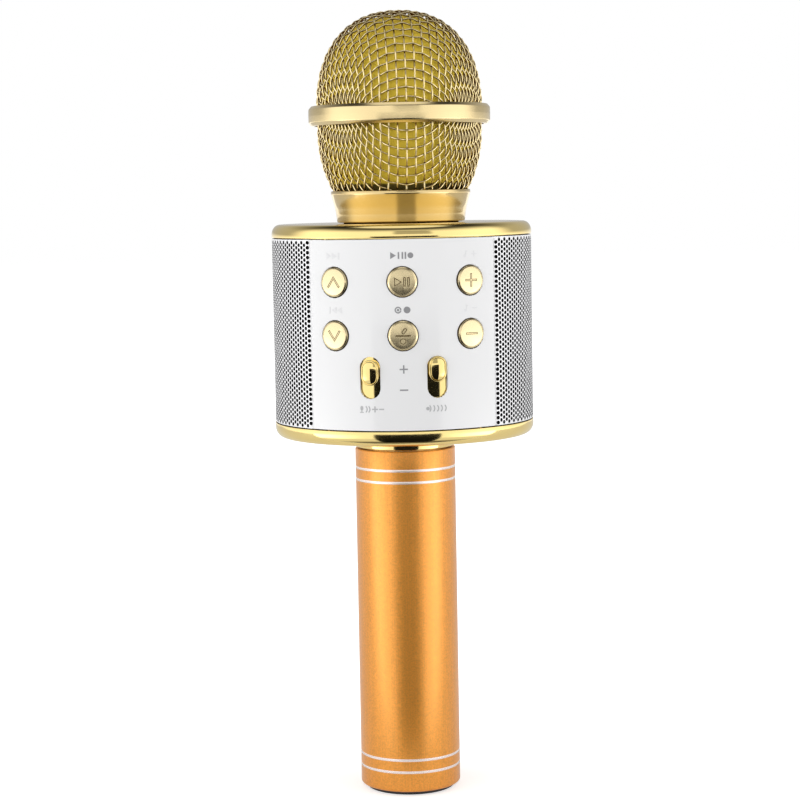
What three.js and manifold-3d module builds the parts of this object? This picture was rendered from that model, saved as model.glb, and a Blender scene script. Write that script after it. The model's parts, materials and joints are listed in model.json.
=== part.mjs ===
// Karaoke microphone: a woven-wire head on a round speaker barrel, with a tubular handle below it.
// Millimetres. +Z runs up the microphone's axis and the key panel faces -Y.
// The origin is the centre of the foot that it stands on.
import * as THREE from "three";
import { mergeVertices } from "three/addons/utils/BufferGeometryUtils.js";
import Module from "manifold-3d";

// ---- Driving dimensions ----
const HANDLE_RADIUS = 14.75;
const BARREL_RADIUS = 38;
const HEAD_RADIUS = 24.3;
const BAND_RADIUS = 26.5;
const PANEL_HALF_ANGLE = 42.8; // degrees each side of the front
const GAP = 0.3; // between parts that rest on each other
const WIDE = 32; // sides of a large turned part
const NARROW = 18; // sides of a small one

// Heights of the stack, from the foot up
const TUBE_BOTTOM = 1.1;
const TUBE_TOP = 101.7;
const BARREL_BOTTOM = 105.7;
const SKIN_BOTTOM = 110.3; // the panel and the grille stand between the two caps
const SKIN_TOP = 163.65;
const BARREL_TOP = 167.65;
const SPEAKER_HEIGHT = (SKIN_BOTTOM + SKIN_TOP) / 2;
const NECK_TOP = 174;
const COLLAR_TOP = 177.1;
const BASKET_BASE = 194; // widest level of the lower basket
const BAND_BOTTOM = 196;
const BAND_TOP = 201.7;
const DOME_BASE = 200.2; // widest level of the upper dome
const HEAD_TOP = 229.2;

// Controls on the panel: an angle from the front, to the right, and a height
const KEY_COLUMN = 30;
const SLIDE_COLUMN = 14.3;
const UPPER_KEYS = 151.8;
const LOWER_KEYS = 136.9;
const SLIDE_HEIGHT = 125.2;
const KEY_RADIUS = 4.1;
const KEY_HOLE_RADIUS = 4.35;
const KEY_PROUD = 0.9;
const KNOB_PROUD = 1;
const SLOT_SIZE = [5.7, 11.7];
const KNOB_SIZE = [4.6, 6.9];
const THROUGH_SKIN = [30, 45]; // distances from the axis that a tool needs to pierce the panel
const BOARD_DISTANCE = 30; // from the axis to the control board's face

// Radii of the barrel's layers, from outside in
const PANEL_INSIDE = 36.6;
const GRILLE_OUTSIDE = 37.9;
const GRILLE_INSIDE = 37.15;
const CLOTH_OUTSIDE = 36.85;
const CLOTH_INSIDE = 36.6;
const CHASSIS_OUTSIDE = 36.3;
const CHASSIS_INSIDE = 34.5;

// ---- Materials ----
const finish = (color, roughness, metalness) =>
  new THREE.MeshStandardMaterial({ color, roughness, metalness });
const materials = {
  gold: finish(0xd9b45f, 0.12, 1),
  keyGold: finish(0xd8c48a, 0.3, 1),
  anodised: finish(0xe39a3c, 0.38, 1),
  wire: finish(0xd2ae62, 0.25, 1),
  foam: finish(0xb9982c, 0.95, 0),
  white: finish(0xf2f2f4, 0.12, 0),
  silver: finish(0xc9cacd, 0.35, 1),
  cloth: finish(0x0d0d0e, 0.95, 0),
  black: finish(0x17171a, 0.5, 0),
  rubber: finish(0x1c1c1e, 0.85, 0),
  board: finish(0x1e5a34, 0.5, 0),
  steel: finish(0xb9bcc0, 0.3, 1),
  magnet: finish(0x3a3a3d, 0.5, 1),
  paper: finish(0x202024, 0.9, 0),
  battery: finish(0x2f6fb3, 0.4, 0),
  lens: finish(0xbfd7ff, 0.15, 0),
  insulation: finish(0x9a1e1e, 0.5, 0),
  ribbon: finish(0xd8c9a0, 0.6, 0),
};

// ---- Making and cutting solids ----
const wasm = await Module();
wasm.setup();
const MERGE_WITHIN = 1e-3;

function asSolid(geometry) {
  const bare = geometry.index ? geometry.toNonIndexed() : geometry.clone();
  bare.deleteAttribute("normal");
  bare.deleteAttribute("uv");
  const merged = mergeVertices(bare, MERGE_WITHIN);
  return new wasm.Manifold(
    new wasm.Mesh({
      numProp: 3,
      vertProperties: merged.attributes.position.array,
      triVerts: new Uint32Array(merged.index.array),
    }),
  );
}

function asGeometry(solid) {
  const mesh = solid.getMesh();
  return new THREE.BufferGeometry()
    .setAttribute("position", new THREE.BufferAttribute(mesh.vertProperties, 3))
    .setIndex(new THREE.BufferAttribute(mesh.triVerts, 1));
}

function join(...geometries) {
  return asGeometry(geometries.map(asSolid).reduce((all, one) => all.add(one)));
}

function cut(geometry, ...tools) {
  return asGeometry(tools.map(asSolid).reduce((left, tool) => left.subtract(tool), asSolid(geometry)));
}

// ---- Shapes ----
const radians = THREE.MathUtils.degToRad;
const FRONT = -Math.PI / 2;

// A profile of [radius, height] turned round +Z. It goes up the outside and down the inside.
function turned(profile, sides = WIDE) {
  const points = profile.map(([r, z]) => new THREE.Vector2(r, z));
  return new THREE.LatheGeometry(points, sides).rotateX(Math.PI / 2);
}

// A ring's closed profile, from its outline
const ring = (profile, sides) => turned([...profile, profile[0]], sides);

const disc = (radius, bottom, top, sides = NARROW) =>
  turned([[0, bottom], [radius, bottom], [radius, top], [0, top]], sides);

function block([x0, x1], [y0, y1], [z0, z1]) {
  return new THREE.BoxGeometry(x1 - x0, y1 - y0, z1 - z0).translate(
    (x0 + x1) / 2,
    (y0 + y1) / 2,
    (z0 + z1) / 2,
  );
}

function slab(shape, bottom, top, curveSegments = 8) {
  const options = { depth: top - bottom, bevelEnabled: false, curveSegments };
  return new THREE.ExtrudeGeometry(shape, options).translate(0, 0, bottom);
}

// Part of a tube's wall between two angles, in degrees from the front
function wall(inside, outside, from, to, bottom, top, steps) {
  const [a, b] = [FRONT + radians(from), FRONT + radians(to)];
  const shape = new THREE.Shape().absarc(0, 0, outside, a, b, false).absarc(0, 0, inside, b, a, true);
  return slab(shape, bottom, top, steps);
}

function stadium(width, height) {
  const r = width / 2;
  const reach = height / 2 - r;
  return new THREE.Shape()
    .absarc(0, reach, r, 0, Math.PI, false)
    .absarc(0, -reach, r, Math.PI, 2 * Math.PI, false);
}

// The frame of a control: its +Z points out of the barrel at that angle, and its +Y is up
function outward(degrees, height) {
  const a = radians(degrees);
  const right = new THREE.Vector3(Math.cos(a), Math.sin(a), 0);
  const up = new THREE.Vector3(0, 0, 1);
  const out = new THREE.Vector3(Math.sin(a), -Math.cos(a), 0);
  return new THREE.Matrix4().makeBasis(right, up, out).setPosition(0, 0, height);
}

function wireAlong(radius, steps, ...points) {
  const path = new THREE.CatmullRomCurve3(points.map((p) => new THREE.Vector3(...p)));
  const section = new THREE.Shape().absarc(0, 0, radius, 0, 2 * Math.PI, false);
  const options = { steps, extrudePath: path, curveSegments: 8, bevelEnabled: false };
  return new THREE.ExtrudeGeometry(section, options);
}

// A quarter of an ellipse from its widest point to its tip, as [radius, height] pairs
function quarter(radius, base, height, exponent, steps) {
  return Array.from({ length: steps + 1 }, (_, i) => {
    const a = (i / steps) * (Math.PI / 2);
    return [radius * Math.cos(a) ** (2 / exponent), base + height * Math.sin(a) ** (2 / exponent)];
  });
}

function add(group, name, material, geometry) {
  const mesh = new THREE.Mesh(geometry, material);
  mesh.name = name;
  group.add(mesh);
}

// ---- Handle ----
const GROOVES = [7.1, 10.7, 92.6, 96.1]; // bright-cut rings round the tube
const GROOVE_DEPTH = 0.2;
const TUBE_INSIDE = 13.45;
const SPIGOT_RADIUS = 13.1; // fits inside the tube, at both ends
const FLANGE_RADIUS = 14.4;
const STUD_RADIUS = 10.9; // passes through the bottom cap
const NECK_RING_BORE = 8.5;
const CELL_RADIUS = 9.2;
const CELL_FROM = 17;
const CELL_LENGTH = 65;

function handleTube() {
  const groove = (z) => [
    [HANDLE_RADIUS, z - 0.3],
    [HANDLE_RADIUS - GROOVE_DEPTH, z],
    [HANDLE_RADIUS, z + 0.3],
  ];
  return ring([
    [TUBE_INSIDE, TUBE_BOTTOM],
    [HANDLE_RADIUS - 0.8, TUBE_BOTTOM],
    [HANDLE_RADIUS - 0.2, TUBE_BOTTOM + 0.25],
    [HANDLE_RADIUS, TUBE_BOTTOM + 0.8],
    ...GROOVES.flatMap(groove),
    [HANDLE_RADIUS, TUBE_TOP - 0.3],
    [HANDLE_RADIUS - 0.3, TUBE_TOP],
    [TUBE_INSIDE, TUBE_TOP],
  ]);
}

// It plugs into the tube, carries the barrel on its flange, and is held by a nut above the bottom cap.
function neckRing() {
  const [bottom, top] = [TUBE_TOP - 11.8, BARREL_BOTTOM + 7.4];
  return ring([
    [NECK_RING_BORE, bottom],
    [SPIGOT_RADIUS, bottom],
    [SPIGOT_RADIUS, TUBE_TOP + GAP],
    [FLANGE_RADIUS - 0.2, TUBE_TOP + GAP],
    [FLANGE_RADIUS, TUBE_TOP + 0.6],
    [FLANGE_RADIUS, BARREL_BOTTOM - 0.5],
    [FLANGE_RADIUS - 0.2, BARREL_BOTTOM - GAP],
    [STUD_RADIUS, BARREL_BOTTOM - GAP],
    [STUD_RADIUS, top],
    [NECK_RING_BORE, top],
  ]);
}

function neckNut() {
  const bottom = BARREL_BOTTOM + CAP_PLATE + GAP;
  const inside = STUD_RADIUS + 0.5;
  return ring([[inside, bottom], [14.5, bottom], [14.5, bottom + 3.1], [inside, bottom + 3.1]], 24);
}

// A trough, open to the back, that holds the cell in the tube
function batteryCradle() {
  const trough = wall(9.8, 12.8, -115, 115, CELL_FROM - 2, CELL_FROM + CELL_LENGTH + 2, 16);
  return join(trough, disc(12.8, CELL_FROM - 2.5, CELL_FROM - 0.5, 24));
}

function batteryCell() {
  const top = CELL_FROM + CELL_LENGTH;
  return turned(
    [[0, CELL_FROM], [CELL_RADIUS, CELL_FROM], [CELL_RADIUS, top - 0.8], [3, top - 0.8], [3, top], [0, top]],
    20,
  );
}

function handle(group) {
  add(group, "handle_tube", materials.anodised, handleTube());
  add(group, "neck_ring", materials.gold, neckRing());
  add(group, "neck_nut", materials.steel, neckNut());
  add(group, "battery_cradle", materials.black, batteryCradle());
  add(group, "battery_cell", materials.battery, batteryCell());
}

// ---- Sockets and power switch in the handle's end ----
const PLUG_FLOOR = 3;
const SOCKET_TOP = 11.4;
const POWER_Y = -7;
const POWER_TRAVEL = 3; // from off, on the left, to on
const CHARGE_X = -6.8;
const AUDIO_X = 6.6;
const CARD_Y = 7.4;
const LIGHT_Y = 3.4;

const centred = (middle, width) => [middle - width / 2, middle + width / 2];
const THROUGH_FLOOR = [-1, PLUG_FLOOR + 1];

function endPlug() {
  const cup = turned([
    [0, 0],
    [12.6, 0],
    [SPIGOT_RADIUS, 0.5],
    [SPIGOT_RADIUS, 7],
    [11.9, 7],
    [11.9, PLUG_FLOOR],
    [0, PLUG_FLOOR],
  ]);
  return cut(
    cup,
    block(centred(0, 7), centred(POWER_Y, 3.6), THROUGH_FLOOR),
    block(centred(CHARGE_X, 3.4), centred(0, 8.4), THROUGH_FLOOR),
    block(centred(0, 12), centred(CARD_Y, 1.6), THROUGH_FLOOR),
    disc(3.2, ...THROUGH_FLOOR).translate(AUDIO_X, 0, 0),
    disc(1.15, ...THROUGH_FLOOR, 12).translate(0, LIGHT_Y, 0),
  );
}

function powerSlider() {
  const off = -POWER_TRAVEL / 2;
  return join(
    block(centred(off, 3.6), centred(POWER_Y, 3), [0.6, 3.4]),
    block(centred(off, 9.4), centred(POWER_Y, 4.4), [PLUG_FLOOR + GAP, 4.1]),
    block(centred(off, 1.2), centred(POWER_Y, 1), [4, 6.4]),
  );
}

function chargingSocket() {
  const shell = block(centred(CHARGE_X, 2.6), centred(0, 7.6), [0.8, SOCKET_TOP]);
  const mouth = block(centred(CHARGE_X, 1.9), centred(0, 6.9), [0, 8]);
  const tongue = block(centred(CHARGE_X, 0.6), centred(0, 5), [2.4, 9]);
  return join(cut(shell, mouth), tongue);
}

function audioSocket() {
  const barrel = disc(2.9, 0.6, 5.5).translate(AUDIO_X, 0, 0);
  const body = block(centred(AUDIO_X, 6.4), centred(0, 6.4), [5, SOCKET_TOP]);
  return cut(join(barrel, body), disc(1.8, 0, 10).translate(AUDIO_X, 0, 0));
}

function cardSocket() {
  const body = block(centred(0, 13.4), centred(CARD_Y, 2.4), [PLUG_FLOOR + GAP, SOCKET_TOP]);
  return cut(body, block(centred(0, 11.4), centred(CARD_Y, 1), [2, 10]));
}

function powerSwitch() {
  const body = block(centred(0, 7.6), centred(POWER_Y, 3.6), [5.4, SOCKET_TOP]);
  return cut(body, block(centred(0, 5.4), centred(POWER_Y, 1.8), [5, 7.6]));
}

function handleEnd(group) {
  add(group, "end_plug", materials.black, endPlug());
  add(group, "power_slider", materials.gold, powerSlider());
  add(group, "power_switch", materials.steel, powerSwitch());
  add(group, "charging_socket", materials.steel, chargingSocket());
  add(group, "audio_socket", materials.black, audioSocket());
  add(group, "card_socket", materials.steel, cardSocket());
  add(group, "charge_light", materials.lens, disc(0.85, 0.3, SOCKET_TOP, 12).translate(0, LIGHT_Y, 0));
  add(group, "port_board", materials.board, disc(12.9, SOCKET_TOP + GAP, 13.3, 24));
}

// ---- Barrel: two gold caps with the chassis, cloth, grille and panel between them ----
const RIM_INSIDE = 36;
const LIP = [32.7, 34.2]; // the ring on each cap that centres the chassis
const LIP_HEIGHT = 4.3;
const CAP_PLATE = 2;
const EDGE_ROUND = [2.4, 2.9]; // each cap's outer edge is rounded this far in and this far along
const SCREW_CIRCLE = 29.9;
const SCREW_ANGLES = [-47, 47, 155, 205]; // clear of the control board, speakers and main board
const SCREW_HEAD_RADIUS = 2.4;
const SCREW_RADIUS = 1.15;
const NECK_RADIUS = 17;
const NECK_BORE = 13;

function atScrew(geometry, degrees) {
  const a = radians(degrees);
  return geometry.translate(SCREW_CIRCLE * Math.sin(a), -SCREW_CIRCLE * Math.cos(a), 0);
}

// An elliptical corner from a cap's flat face to its side
function roundedEdge(face, towardsSkin) {
  const [inward, along] = EDGE_ROUND;
  return Array.from({ length: 5 }, (_, i) => {
    const a = radians((90 * i) / 4);
    return [BARREL_RADIUS - inward * (1 - Math.sin(a)), face + towardsSkin * along * (1 - Math.cos(a))];
  });
}

function bottomCap() {
  const plateTop = BARREL_BOTTOM + CAP_PLATE;
  const bore = STUD_RADIUS + GAP;
  const cap = ring([
    [bore, BARREL_BOTTOM],
    ...roundedEdge(BARREL_BOTTOM, 1),
    [BARREL_RADIUS, SKIN_BOTTOM - GAP],
    [RIM_INSIDE, SKIN_BOTTOM - GAP],
    [RIM_INSIDE, plateTop],
    [LIP[1], plateTop],
    [LIP[1], plateTop + LIP_HEIGHT],
    [LIP[0], plateTop + LIP_HEIGHT],
    [LIP[0], plateTop],
    [bore, plateTop],
  ]);
  const below = BARREL_BOTTOM - 1;
  const holes = SCREW_ANGLES.flatMap((degrees) => [
    atScrew(disc(SCREW_RADIUS + 0.35, below, plateTop + 1, 12), degrees),
    atScrew(disc(SCREW_HEAD_RADIUS + 0.35, below, BARREL_BOTTOM + 1.3, 12), degrees),
  ]);
  return cut(cap, ...holes);
}

// Its neck carries the thread that the head screws on to.
function topCap() {
  const plateBottom = BARREL_TOP - CAP_PLATE;
  return ring([
    [NECK_BORE, plateBottom],
    [LIP[0], plateBottom],
    [LIP[0], plateBottom - LIP_HEIGHT],
    [LIP[1], plateBottom - LIP_HEIGHT],
    [LIP[1], plateBottom],
    [RIM_INSIDE, plateBottom],
    [RIM_INSIDE, SKIN_TOP + GAP],
    [BARREL_RADIUS, SKIN_TOP + GAP],
    ...roundedEdge(BARREL_TOP, -1).reverse(),
    [NECK_RADIUS, BARREL_TOP],
    [NECK_RADIUS, NECK_TOP - 0.4],
    [NECK_RADIUS - 0.4, NECK_TOP],
    [NECK_BORE, NECK_TOP],
  ]);
}

function capScrew() {
  const head = BARREL_BOTTOM + GAP;
  const shoulder = head + 0.7;
  const tip = head + 11.6;
  return turned(
    [
      [0, head],
      [SCREW_HEAD_RADIUS, head],
      [SCREW_HEAD_RADIUS, shoulder],
      [SCREW_RADIUS, shoulder],
      [SCREW_RADIUS, tip],
      [0, tip],
    ],
    12,
  );
}

const BAFFLE = [24.8, 26.3]; // the flat walls that the speakers are fixed to, out from the axis
const BAFFLE_HEIGHTS = [SPEAKER_HEIGHT - 24, SPEAKER_HEIGHT + 24];
const CHASSIS_ENDS = [PANEL_HALF_ANGLE + 1.7, 358.3 - PANEL_HALF_ANGLE]; // just behind the panel
const WINDOW_RADIUS = 19; // in the chassis, in front of each speaker
const SPEAKER_OPENING = 18.2; // in the flat wall that it is fixed to

function chassis() {
  const tube = wall(CHASSIS_INSIDE, CHASSIS_OUTSIDE, ...CHASSIS_ENDS, SKIN_BOTTOM, SKIN_TOP, 26);
  const acrossX = (radius, from, to) =>
    disc(radius, from, to, 24).rotateY(Math.PI / 2).translate(0, 0, SPEAKER_HEIGHT);
  const baffles = [1, -1].map((side) =>
    block(side > 0 ? BAFFLE : [-BAFFLE[1], -BAFFLE[0]], [-23.3, 23.3], BAFFLE_HEIGHTS),
  );
  const floor = BARREL_BOTTOM + CAP_PLATE;
  const bosses = SCREW_ANGLES.map((degrees) =>
    atScrew(disc(2.4, floor + GAP, BAFFLE_HEIGHTS[1], 12), degrees),
  );
  const ribs = SCREW_ANGLES.map((degrees) =>
    block([-0.8, 0.8], [-35.2, -28.5], BAFFLE_HEIGHTS).rotateZ(radians(degrees)),
  );
  const shell = cut(tube, acrossX(WINDOW_RADIUS, 27, 40), acrossX(WINDOW_RADIUS, -40, -27));
  const frame = join(shell, ...baffles, ...bosses, ...ribs);
  const pilots = SCREW_ANGLES.map((degrees) =>
    atScrew(disc(SCREW_RADIUS + GAP, floor - 1, floor + 10.4, 12), degrees),
  );
  return cut(frame, acrossX(SPEAKER_OPENING, -30, 30), ...pilots);
}

// Thin where the two slides run behind it, and pierced for the keys and the slides
function frontPanel() {
  const plate = wall(
    PANEL_INSIDE, BARREL_RADIUS, -PANEL_HALF_ANGLE, PANEL_HALF_ANGLE, SKIN_BOTTOM, SKIN_TOP, 12,
  );
  const slots = [-SLIDE_COLUMN, SLIDE_COLUMN].flatMap((column) => [
    slab(stadium(...SLOT_SIZE), ...THROUGH_SKIN).applyMatrix4(outward(column, SLIDE_HEIGHT)),
    wall(35, SKIRT_ROOF, column - 5.9, column + 5.9, SLIDE_HEIGHT - 11.1, SLIDE_HEIGHT + 11.1, 6),
  ]);
  const keyHoles = KEYS.map(([, column, height]) =>
    disc(KEY_HOLE_RADIUS, ...THROUGH_SKIN, 16).applyMatrix4(outward(column, height)),
  );
  return cut(plate, ...slots, ...keyHoles);
}

function barrel(group) {
  const ends = [PANEL_HALF_ANGLE + 0.5, 359.5 - PANEL_HALF_ANGLE];
  const roundTheBack = (inside, outside) => wall(inside, outside, ...ends, SKIN_BOTTOM, SKIN_TOP, 26);
  add(group, "bottom_cap", materials.gold, bottomCap());
  SCREW_ANGLES.forEach((degrees, i) => {
    add(group, `cap_screw_${i + 1}`, materials.steel, atScrew(capScrew(), degrees));
  });
  add(group, "chassis", materials.black, chassis());
  add(group, "grille_cloth", materials.cloth, roundTheBack(CLOTH_INSIDE, CLOTH_OUTSIDE));
  add(group, "speaker_grille", materials.silver, roundTheBack(GRILLE_INSIDE, GRILLE_OUTSIDE));
  add(group, "front_panel", materials.white, frontPanel());
  add(group, "top_cap", materials.gold, topCap());
}

// ---- Keys, slides and their board ----
const KEYS = [
  ["up", -KEY_COLUMN, UPPER_KEYS],
  ["down", -KEY_COLUMN, LOWER_KEYS],
  ["play", 0, UPPER_KEYS],
  ["record", 0, LOWER_KEYS],
  ["plus", KEY_COLUMN, UPPER_KEYS],
  ["minus", KEY_COLUMN, LOWER_KEYS],
];
const SLIDES = [
  ["mic_volume", -SLIDE_COLUMN, 1.4], // the knob's height above the slot's middle
  ["echo", SLIDE_COLUMN, 2.2],
];
const SKIRT = [36.3, 37.1];
const SKIRT_ROOF = SKIRT[1] + GAP;
const SKIRT_HALF_HEIGHT = 8.6;

// A key's heights are distances from the barrel's axis. Its flange keeps it behind the panel.
function key() {
  const face = BARREL_RADIUS + KEY_PROUD;
  return turned(
    [
      [0, 31.7],
      [1.5, 31.7],
      [1.5, 34.9],
      [4.9, 34.9],
      [4.9, 35.8],
      [KEY_RADIUS, 35.8],
      [KEY_RADIUS, face - 0.35],
      [KEY_RADIUS - 0.35, face],
      [0, face],
    ],
    16,
  );
}

function keySwitch() {
  const body = block([-2.5, 2.5], [-2.5, 2.5], [BOARD_DISTANCE + GAP, 32.4]);
  return cut(body, disc(1.9, 31, 33, 12));
}

function slideControl() {
  const body = block([-3.2, 3.2], [-10.2, 10.2], [BOARD_DISTANCE + GAP, 33.6]);
  return cut(body, block([-1.2, 1.2], [-4.8, 4.8], [31.6, 34]));
}

// The skirt is curved like the panel, and fills the slot behind the knob wherever the knob stands.
function slideKnob(column, rest) {
  const middle = SLIDE_HEIGHT + rest;
  const at = outward(column, middle);
  const skirt = wall(
    ...SKIRT, column - 5, column + 5, middle - SKIRT_HALF_HEIGHT, middle + SKIRT_HALF_HEIGHT, 6,
  );
  const knob = slab(stadium(...KNOB_SIZE), 36.6, BARREL_RADIUS + KNOB_PROUD, 8).applyMatrix4(at);
  const lever = block([-0.8, 0.8], [-1.5, 1.5], [32, 36.6]).applyMatrix4(at);
  return join(skirt, knob, lever);
}

// A flexible board bent into five flats, one behind each column of controls
function controlBoard() {
  const flats = [-KEY_COLUMN, -SLIDE_COLUMN, 0, SLIDE_COLUMN, KEY_COLUMN];
  const boardEnd = KEY_COLUMN + 11;
  const thickness = 1.2;
  const corners = (distance) => {
    const bends = flats.slice(1).map((a, i) => [(a + flats[i]) / 2, (a - flats[i]) / 2]);
    const ends = [-boardEnd, boardEnd].map((a) => [a, boardEnd - KEY_COLUMN]);
    return [ends[0], ...bends, ends[1]].map(([at, half]) => {
      const reach = distance / Math.cos(radians(half));
      return new THREE.Vector2(reach * Math.sin(radians(at)), -reach * Math.cos(radians(at)));
    });
  };
  const outline = [...corners(BOARD_DISTANCE), ...corners(BOARD_DISTANCE - thickness).reverse()];
  return slab(new THREE.Shape(outline), SPEAKER_HEIGHT - 23.75, SPEAKER_HEIGHT + 23.25);
}

function controls(group) {
  for (const [name, column, height] of KEYS) {
    const at = new THREE.Group();
    at.applyMatrix4(outward(column, height));
    add(at, `key_${name}`, materials.keyGold, key());
    add(at, `key_switch_${name}`, materials.black, keySwitch());
    group.add(at);
  }
  for (const [name, column, rest] of SLIDES) {
    const at = new THREE.Group();
    at.applyMatrix4(outward(column, SLIDE_HEIGHT));
    add(at, `${name}_control`, materials.steel, slideControl());
    group.add(at);
    add(group, `${name}_knob`, materials.gold, slideKnob(column, rest));
  }
  add(group, "control_board", materials.board, controlBoard());
}

// ---- Speakers, one each side, firing outwards through the grille ----
const FLANGE = [26.6, 27.8];
const COIL = [5.1, 5.7];
const CONE_RIM = 16.4;

// Profiles are [radius, distance from the microphone's axis].
function speakerFrame() {
  return ring(
    [
      [6.2, 16.3],
      [11.5, 16.3],
      [11.5, 17.5],
      [17.8, FLANGE[0]],
      [19.8, FLANGE[0]],
      [19.8, FLANGE[1]],
      [17, FLANGE[1]],
      [17, 25.4],
      [10.7, 18.1],
      [6.2, 17.5],
    ],
    24,
  );
}

function speakerMagnet() {
  return turned(
    [
      [0, 8.5],
      [12, 8.5],
      [12, 16],
      [6.3, 16],
      [6.3, 11],
      [4.5, 11],
      [4.5, 16],
      [0, 16],
    ],
    24,
  );
}

function speakerCone() {
  return turned(
    [
      [0, 23.4],
      [3.6, 22.6],
      [5.1, 21.2],
      [COIL[0], 12.6],
      [COIL[1], 12.6],
      [COIL[1], 20.4],
      [15, 26.2],
      [CONE_RIM, 26.4],
      [CONE_RIM, 27],
      [15, 27.4],
      [6, 21.4],
      [4.2, 23.5],
      [0, 24.4],
    ],
    24,
  );
}

function speakers(group) {
  for (const [name, turn] of [["right", Math.PI / 2], ["left", -Math.PI / 2]]) {
    const at = new THREE.Group();
    at.rotation.y = turn;
    at.position.z = SPEAKER_HEIGHT;
    add(at, `speaker_frame_${name}`, materials.steel, speakerFrame());
    add(at, `speaker_magnet_${name}`, materials.magnet, speakerMagnet());
    add(at, `speaker_cone_${name}`, materials.paper, speakerCone());
    group.add(at);
  }
}

// ---- Electronics and wiring inside the barrel ----
const BOARD_HALF = 0.8;
const BOARD_Y = [-22, 24];
const BOARD_Z = [SPEAKER_HEIGHT - 20.75, SPEAKER_HEIGHT + 21.25];

function electronics(group) {
  const [boardBottom, boardTop] = BOARD_Z;
  const face = BOARD_HALF + GAP;
  const board = block([-BOARD_HALF, BOARD_HALF], BOARD_Y, BOARD_Z);
  const bluetooth = block([face, 3.4], [-14, 0], [boardBottom + 2, boardBottom + 8]);
  const ribbon = block([face, face + 0.3], [-28.4, -18], [boardBottom + 26, boardBottom + 38]);
  add(group, "main_board", materials.board, board);
  add(group, "bluetooth_module", materials.steel, bluetooth);
  add(group, "control_ribbon", materials.ribbon, ribbon);
  const cellTop = CELL_FROM + CELL_LENGTH;
  const batteryRoute = [
    [0, 0, cellTop + 0.4],
    [0, 2, cellTop + 9],
    [0, 5, TUBE_TOP],
    [0, 6, boardBottom - 0.8],
  ];
  add(group, "battery_lead", materials.insulation, wireAlong(0.9, 10, ...batteryRoute));
  const capsuleRoute = [
    [0, 0, CAPSULE_BOTTOM - 0.8],
    [0, 0, BARREL_TOP + 6],
    [0, 0, BARREL_TOP - 2],
    [0, 3, BARREL_TOP - 6],
    [0, 5, boardTop + 0.8],
  ];
  add(group, "capsule_lead", materials.rubber, wireAlong(0.9, 10, ...capsuleRoute));
  for (const [name, side] of [["right", 1], ["left", -1]]) {
    const terminalToBoard = [[19, 0, 14.5], [13, 3, 17.3], [6, 8, 17.8], [1.9, 10, 16.3]];
    const route = terminalToBoard.map(([x, y, z]) => [x * side, y, SPEAKER_HEIGHT + z]);
    add(group, `speaker_lead_${name}`, materials.insulation, wireAlong(0.8, 10, ...route));
  }
}

// ---- Head ----
const WIRE_LAYER = 0.9; // thickness of the woven wire
const DOME_EXPONENT = 2.3; // 2 would make it an ellipse
const FOAM_CLEARANCE = 1.5;
const FOAM_THICKNESS = 4.5;
const BASKET_RADIUS = HEAD_RADIUS - 0.2;
const BASKET_DEPTH = 30; // from its widest level to where its curve would close
const SEAT = NECK_TOP + 1.1; // the web inside the collar, above the neck
const CAPSULE_BOTTOM = BARREL_TOP + 14;

function collar() {
  const bottom = BARREL_TOP + GAP;
  const inside = NECK_RADIUS + 0.4;
  return ring([
    [inside, bottom],
    [18.4, bottom],
    [18.8, bottom + 0.8],
    [18.95, bottom + 2.4],
    [19.3, bottom + 4.3],
    [19.8, bottom + 6.3],
    [20.5, bottom + 8.5],
    [20.4, COLLAR_TOP - 0.1],
    [20.2, COLLAR_TOP],
    [20, COLLAR_TOP - 0.3],
    [19.8, SEAT],
    [14.2, SEAT],
    [14.2, NECK_TOP + GAP],
    [inside, NECK_TOP + GAP],
  ]);
}

// Points from low on the basket up to its widest level, ten degrees of its curve apart
function basketSide(inset, lowest, highest) {
  return quarter(BASKET_RADIUS - inset, BASKET_BASE, inset - BASKET_DEPTH, 2, 9)
    .slice(highest, lowest + 1)
    .reverse();
}

// The basket is the dome's shape turned over, and its lower edge tucks into the collar.
function basket() {
  const tuck = [[18.9, SEAT + GAP], [19.2, SEAT + 1.6], [20.4, SEAT + 2.9]];
  const top = BAND_BOTTOM + 2.5;
  return ring([
    [18.9 - WIRE_LAYER, SEAT + GAP],
    ...tuck,
    ...basketSide(0, 3, 0),
    [BASKET_RADIUS, top],
    [BASKET_RADIUS - WIRE_LAYER, top],
    ...basketSide(WIRE_LAYER, 3, 0).reverse(),
    [19.7, SEAT + 3.3],
    [18.5, SEAT + 1.9],
  ]);
}

// The dome's curve, from its widest level to its top
function domeSide(inset, steps) {
  const side = quarter(HEAD_RADIUS - inset, DOME_BASE, HEAD_TOP - DOME_BASE - inset, DOME_EXPONENT, steps);
  side.at(-1)[0] = 0;
  return side;
}

function dome() {
  const bottom = BAND_TOP - 2.7;
  return turned([
    ...domeSide(WIRE_LAYER, 6).reverse(),
    [HEAD_RADIUS - WIRE_LAYER, bottom],
    [HEAD_RADIUS, bottom],
    ...domeSide(0, 8),
  ]);
}

function band() {
  const middle = (BAND_BOTTOM + BAND_TOP) / 2;
  const inside = HEAD_RADIUS + 0.4;
  return ring([
    [inside, BAND_BOTTOM],
    [BAND_RADIUS - 1.1, BAND_BOTTOM],
    [BAND_RADIUS - 0.3, BAND_BOTTOM + 0.7],
    [BAND_RADIUS, middle],
    [BAND_RADIUS - 0.3, BAND_TOP - 0.7],
    [BAND_RADIUS - 1.1, BAND_TOP],
    [inside, BAND_TOP],
  ]);
}

// A cup of foam, upside down, that lines the head down to the collar
function foam() {
  const inner = FOAM_CLEARANCE + FOAM_THICKNESS;
  return turned(
    [
      ...domeSide(inner, 6).reverse(),
      ...basketSide(inner, 4, 1).reverse(),
      ...basketSide(FOAM_CLEARANCE, 4, 1),
      ...domeSide(FOAM_CLEARANCE, 6),
    ],
    24,
  );
}

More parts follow.
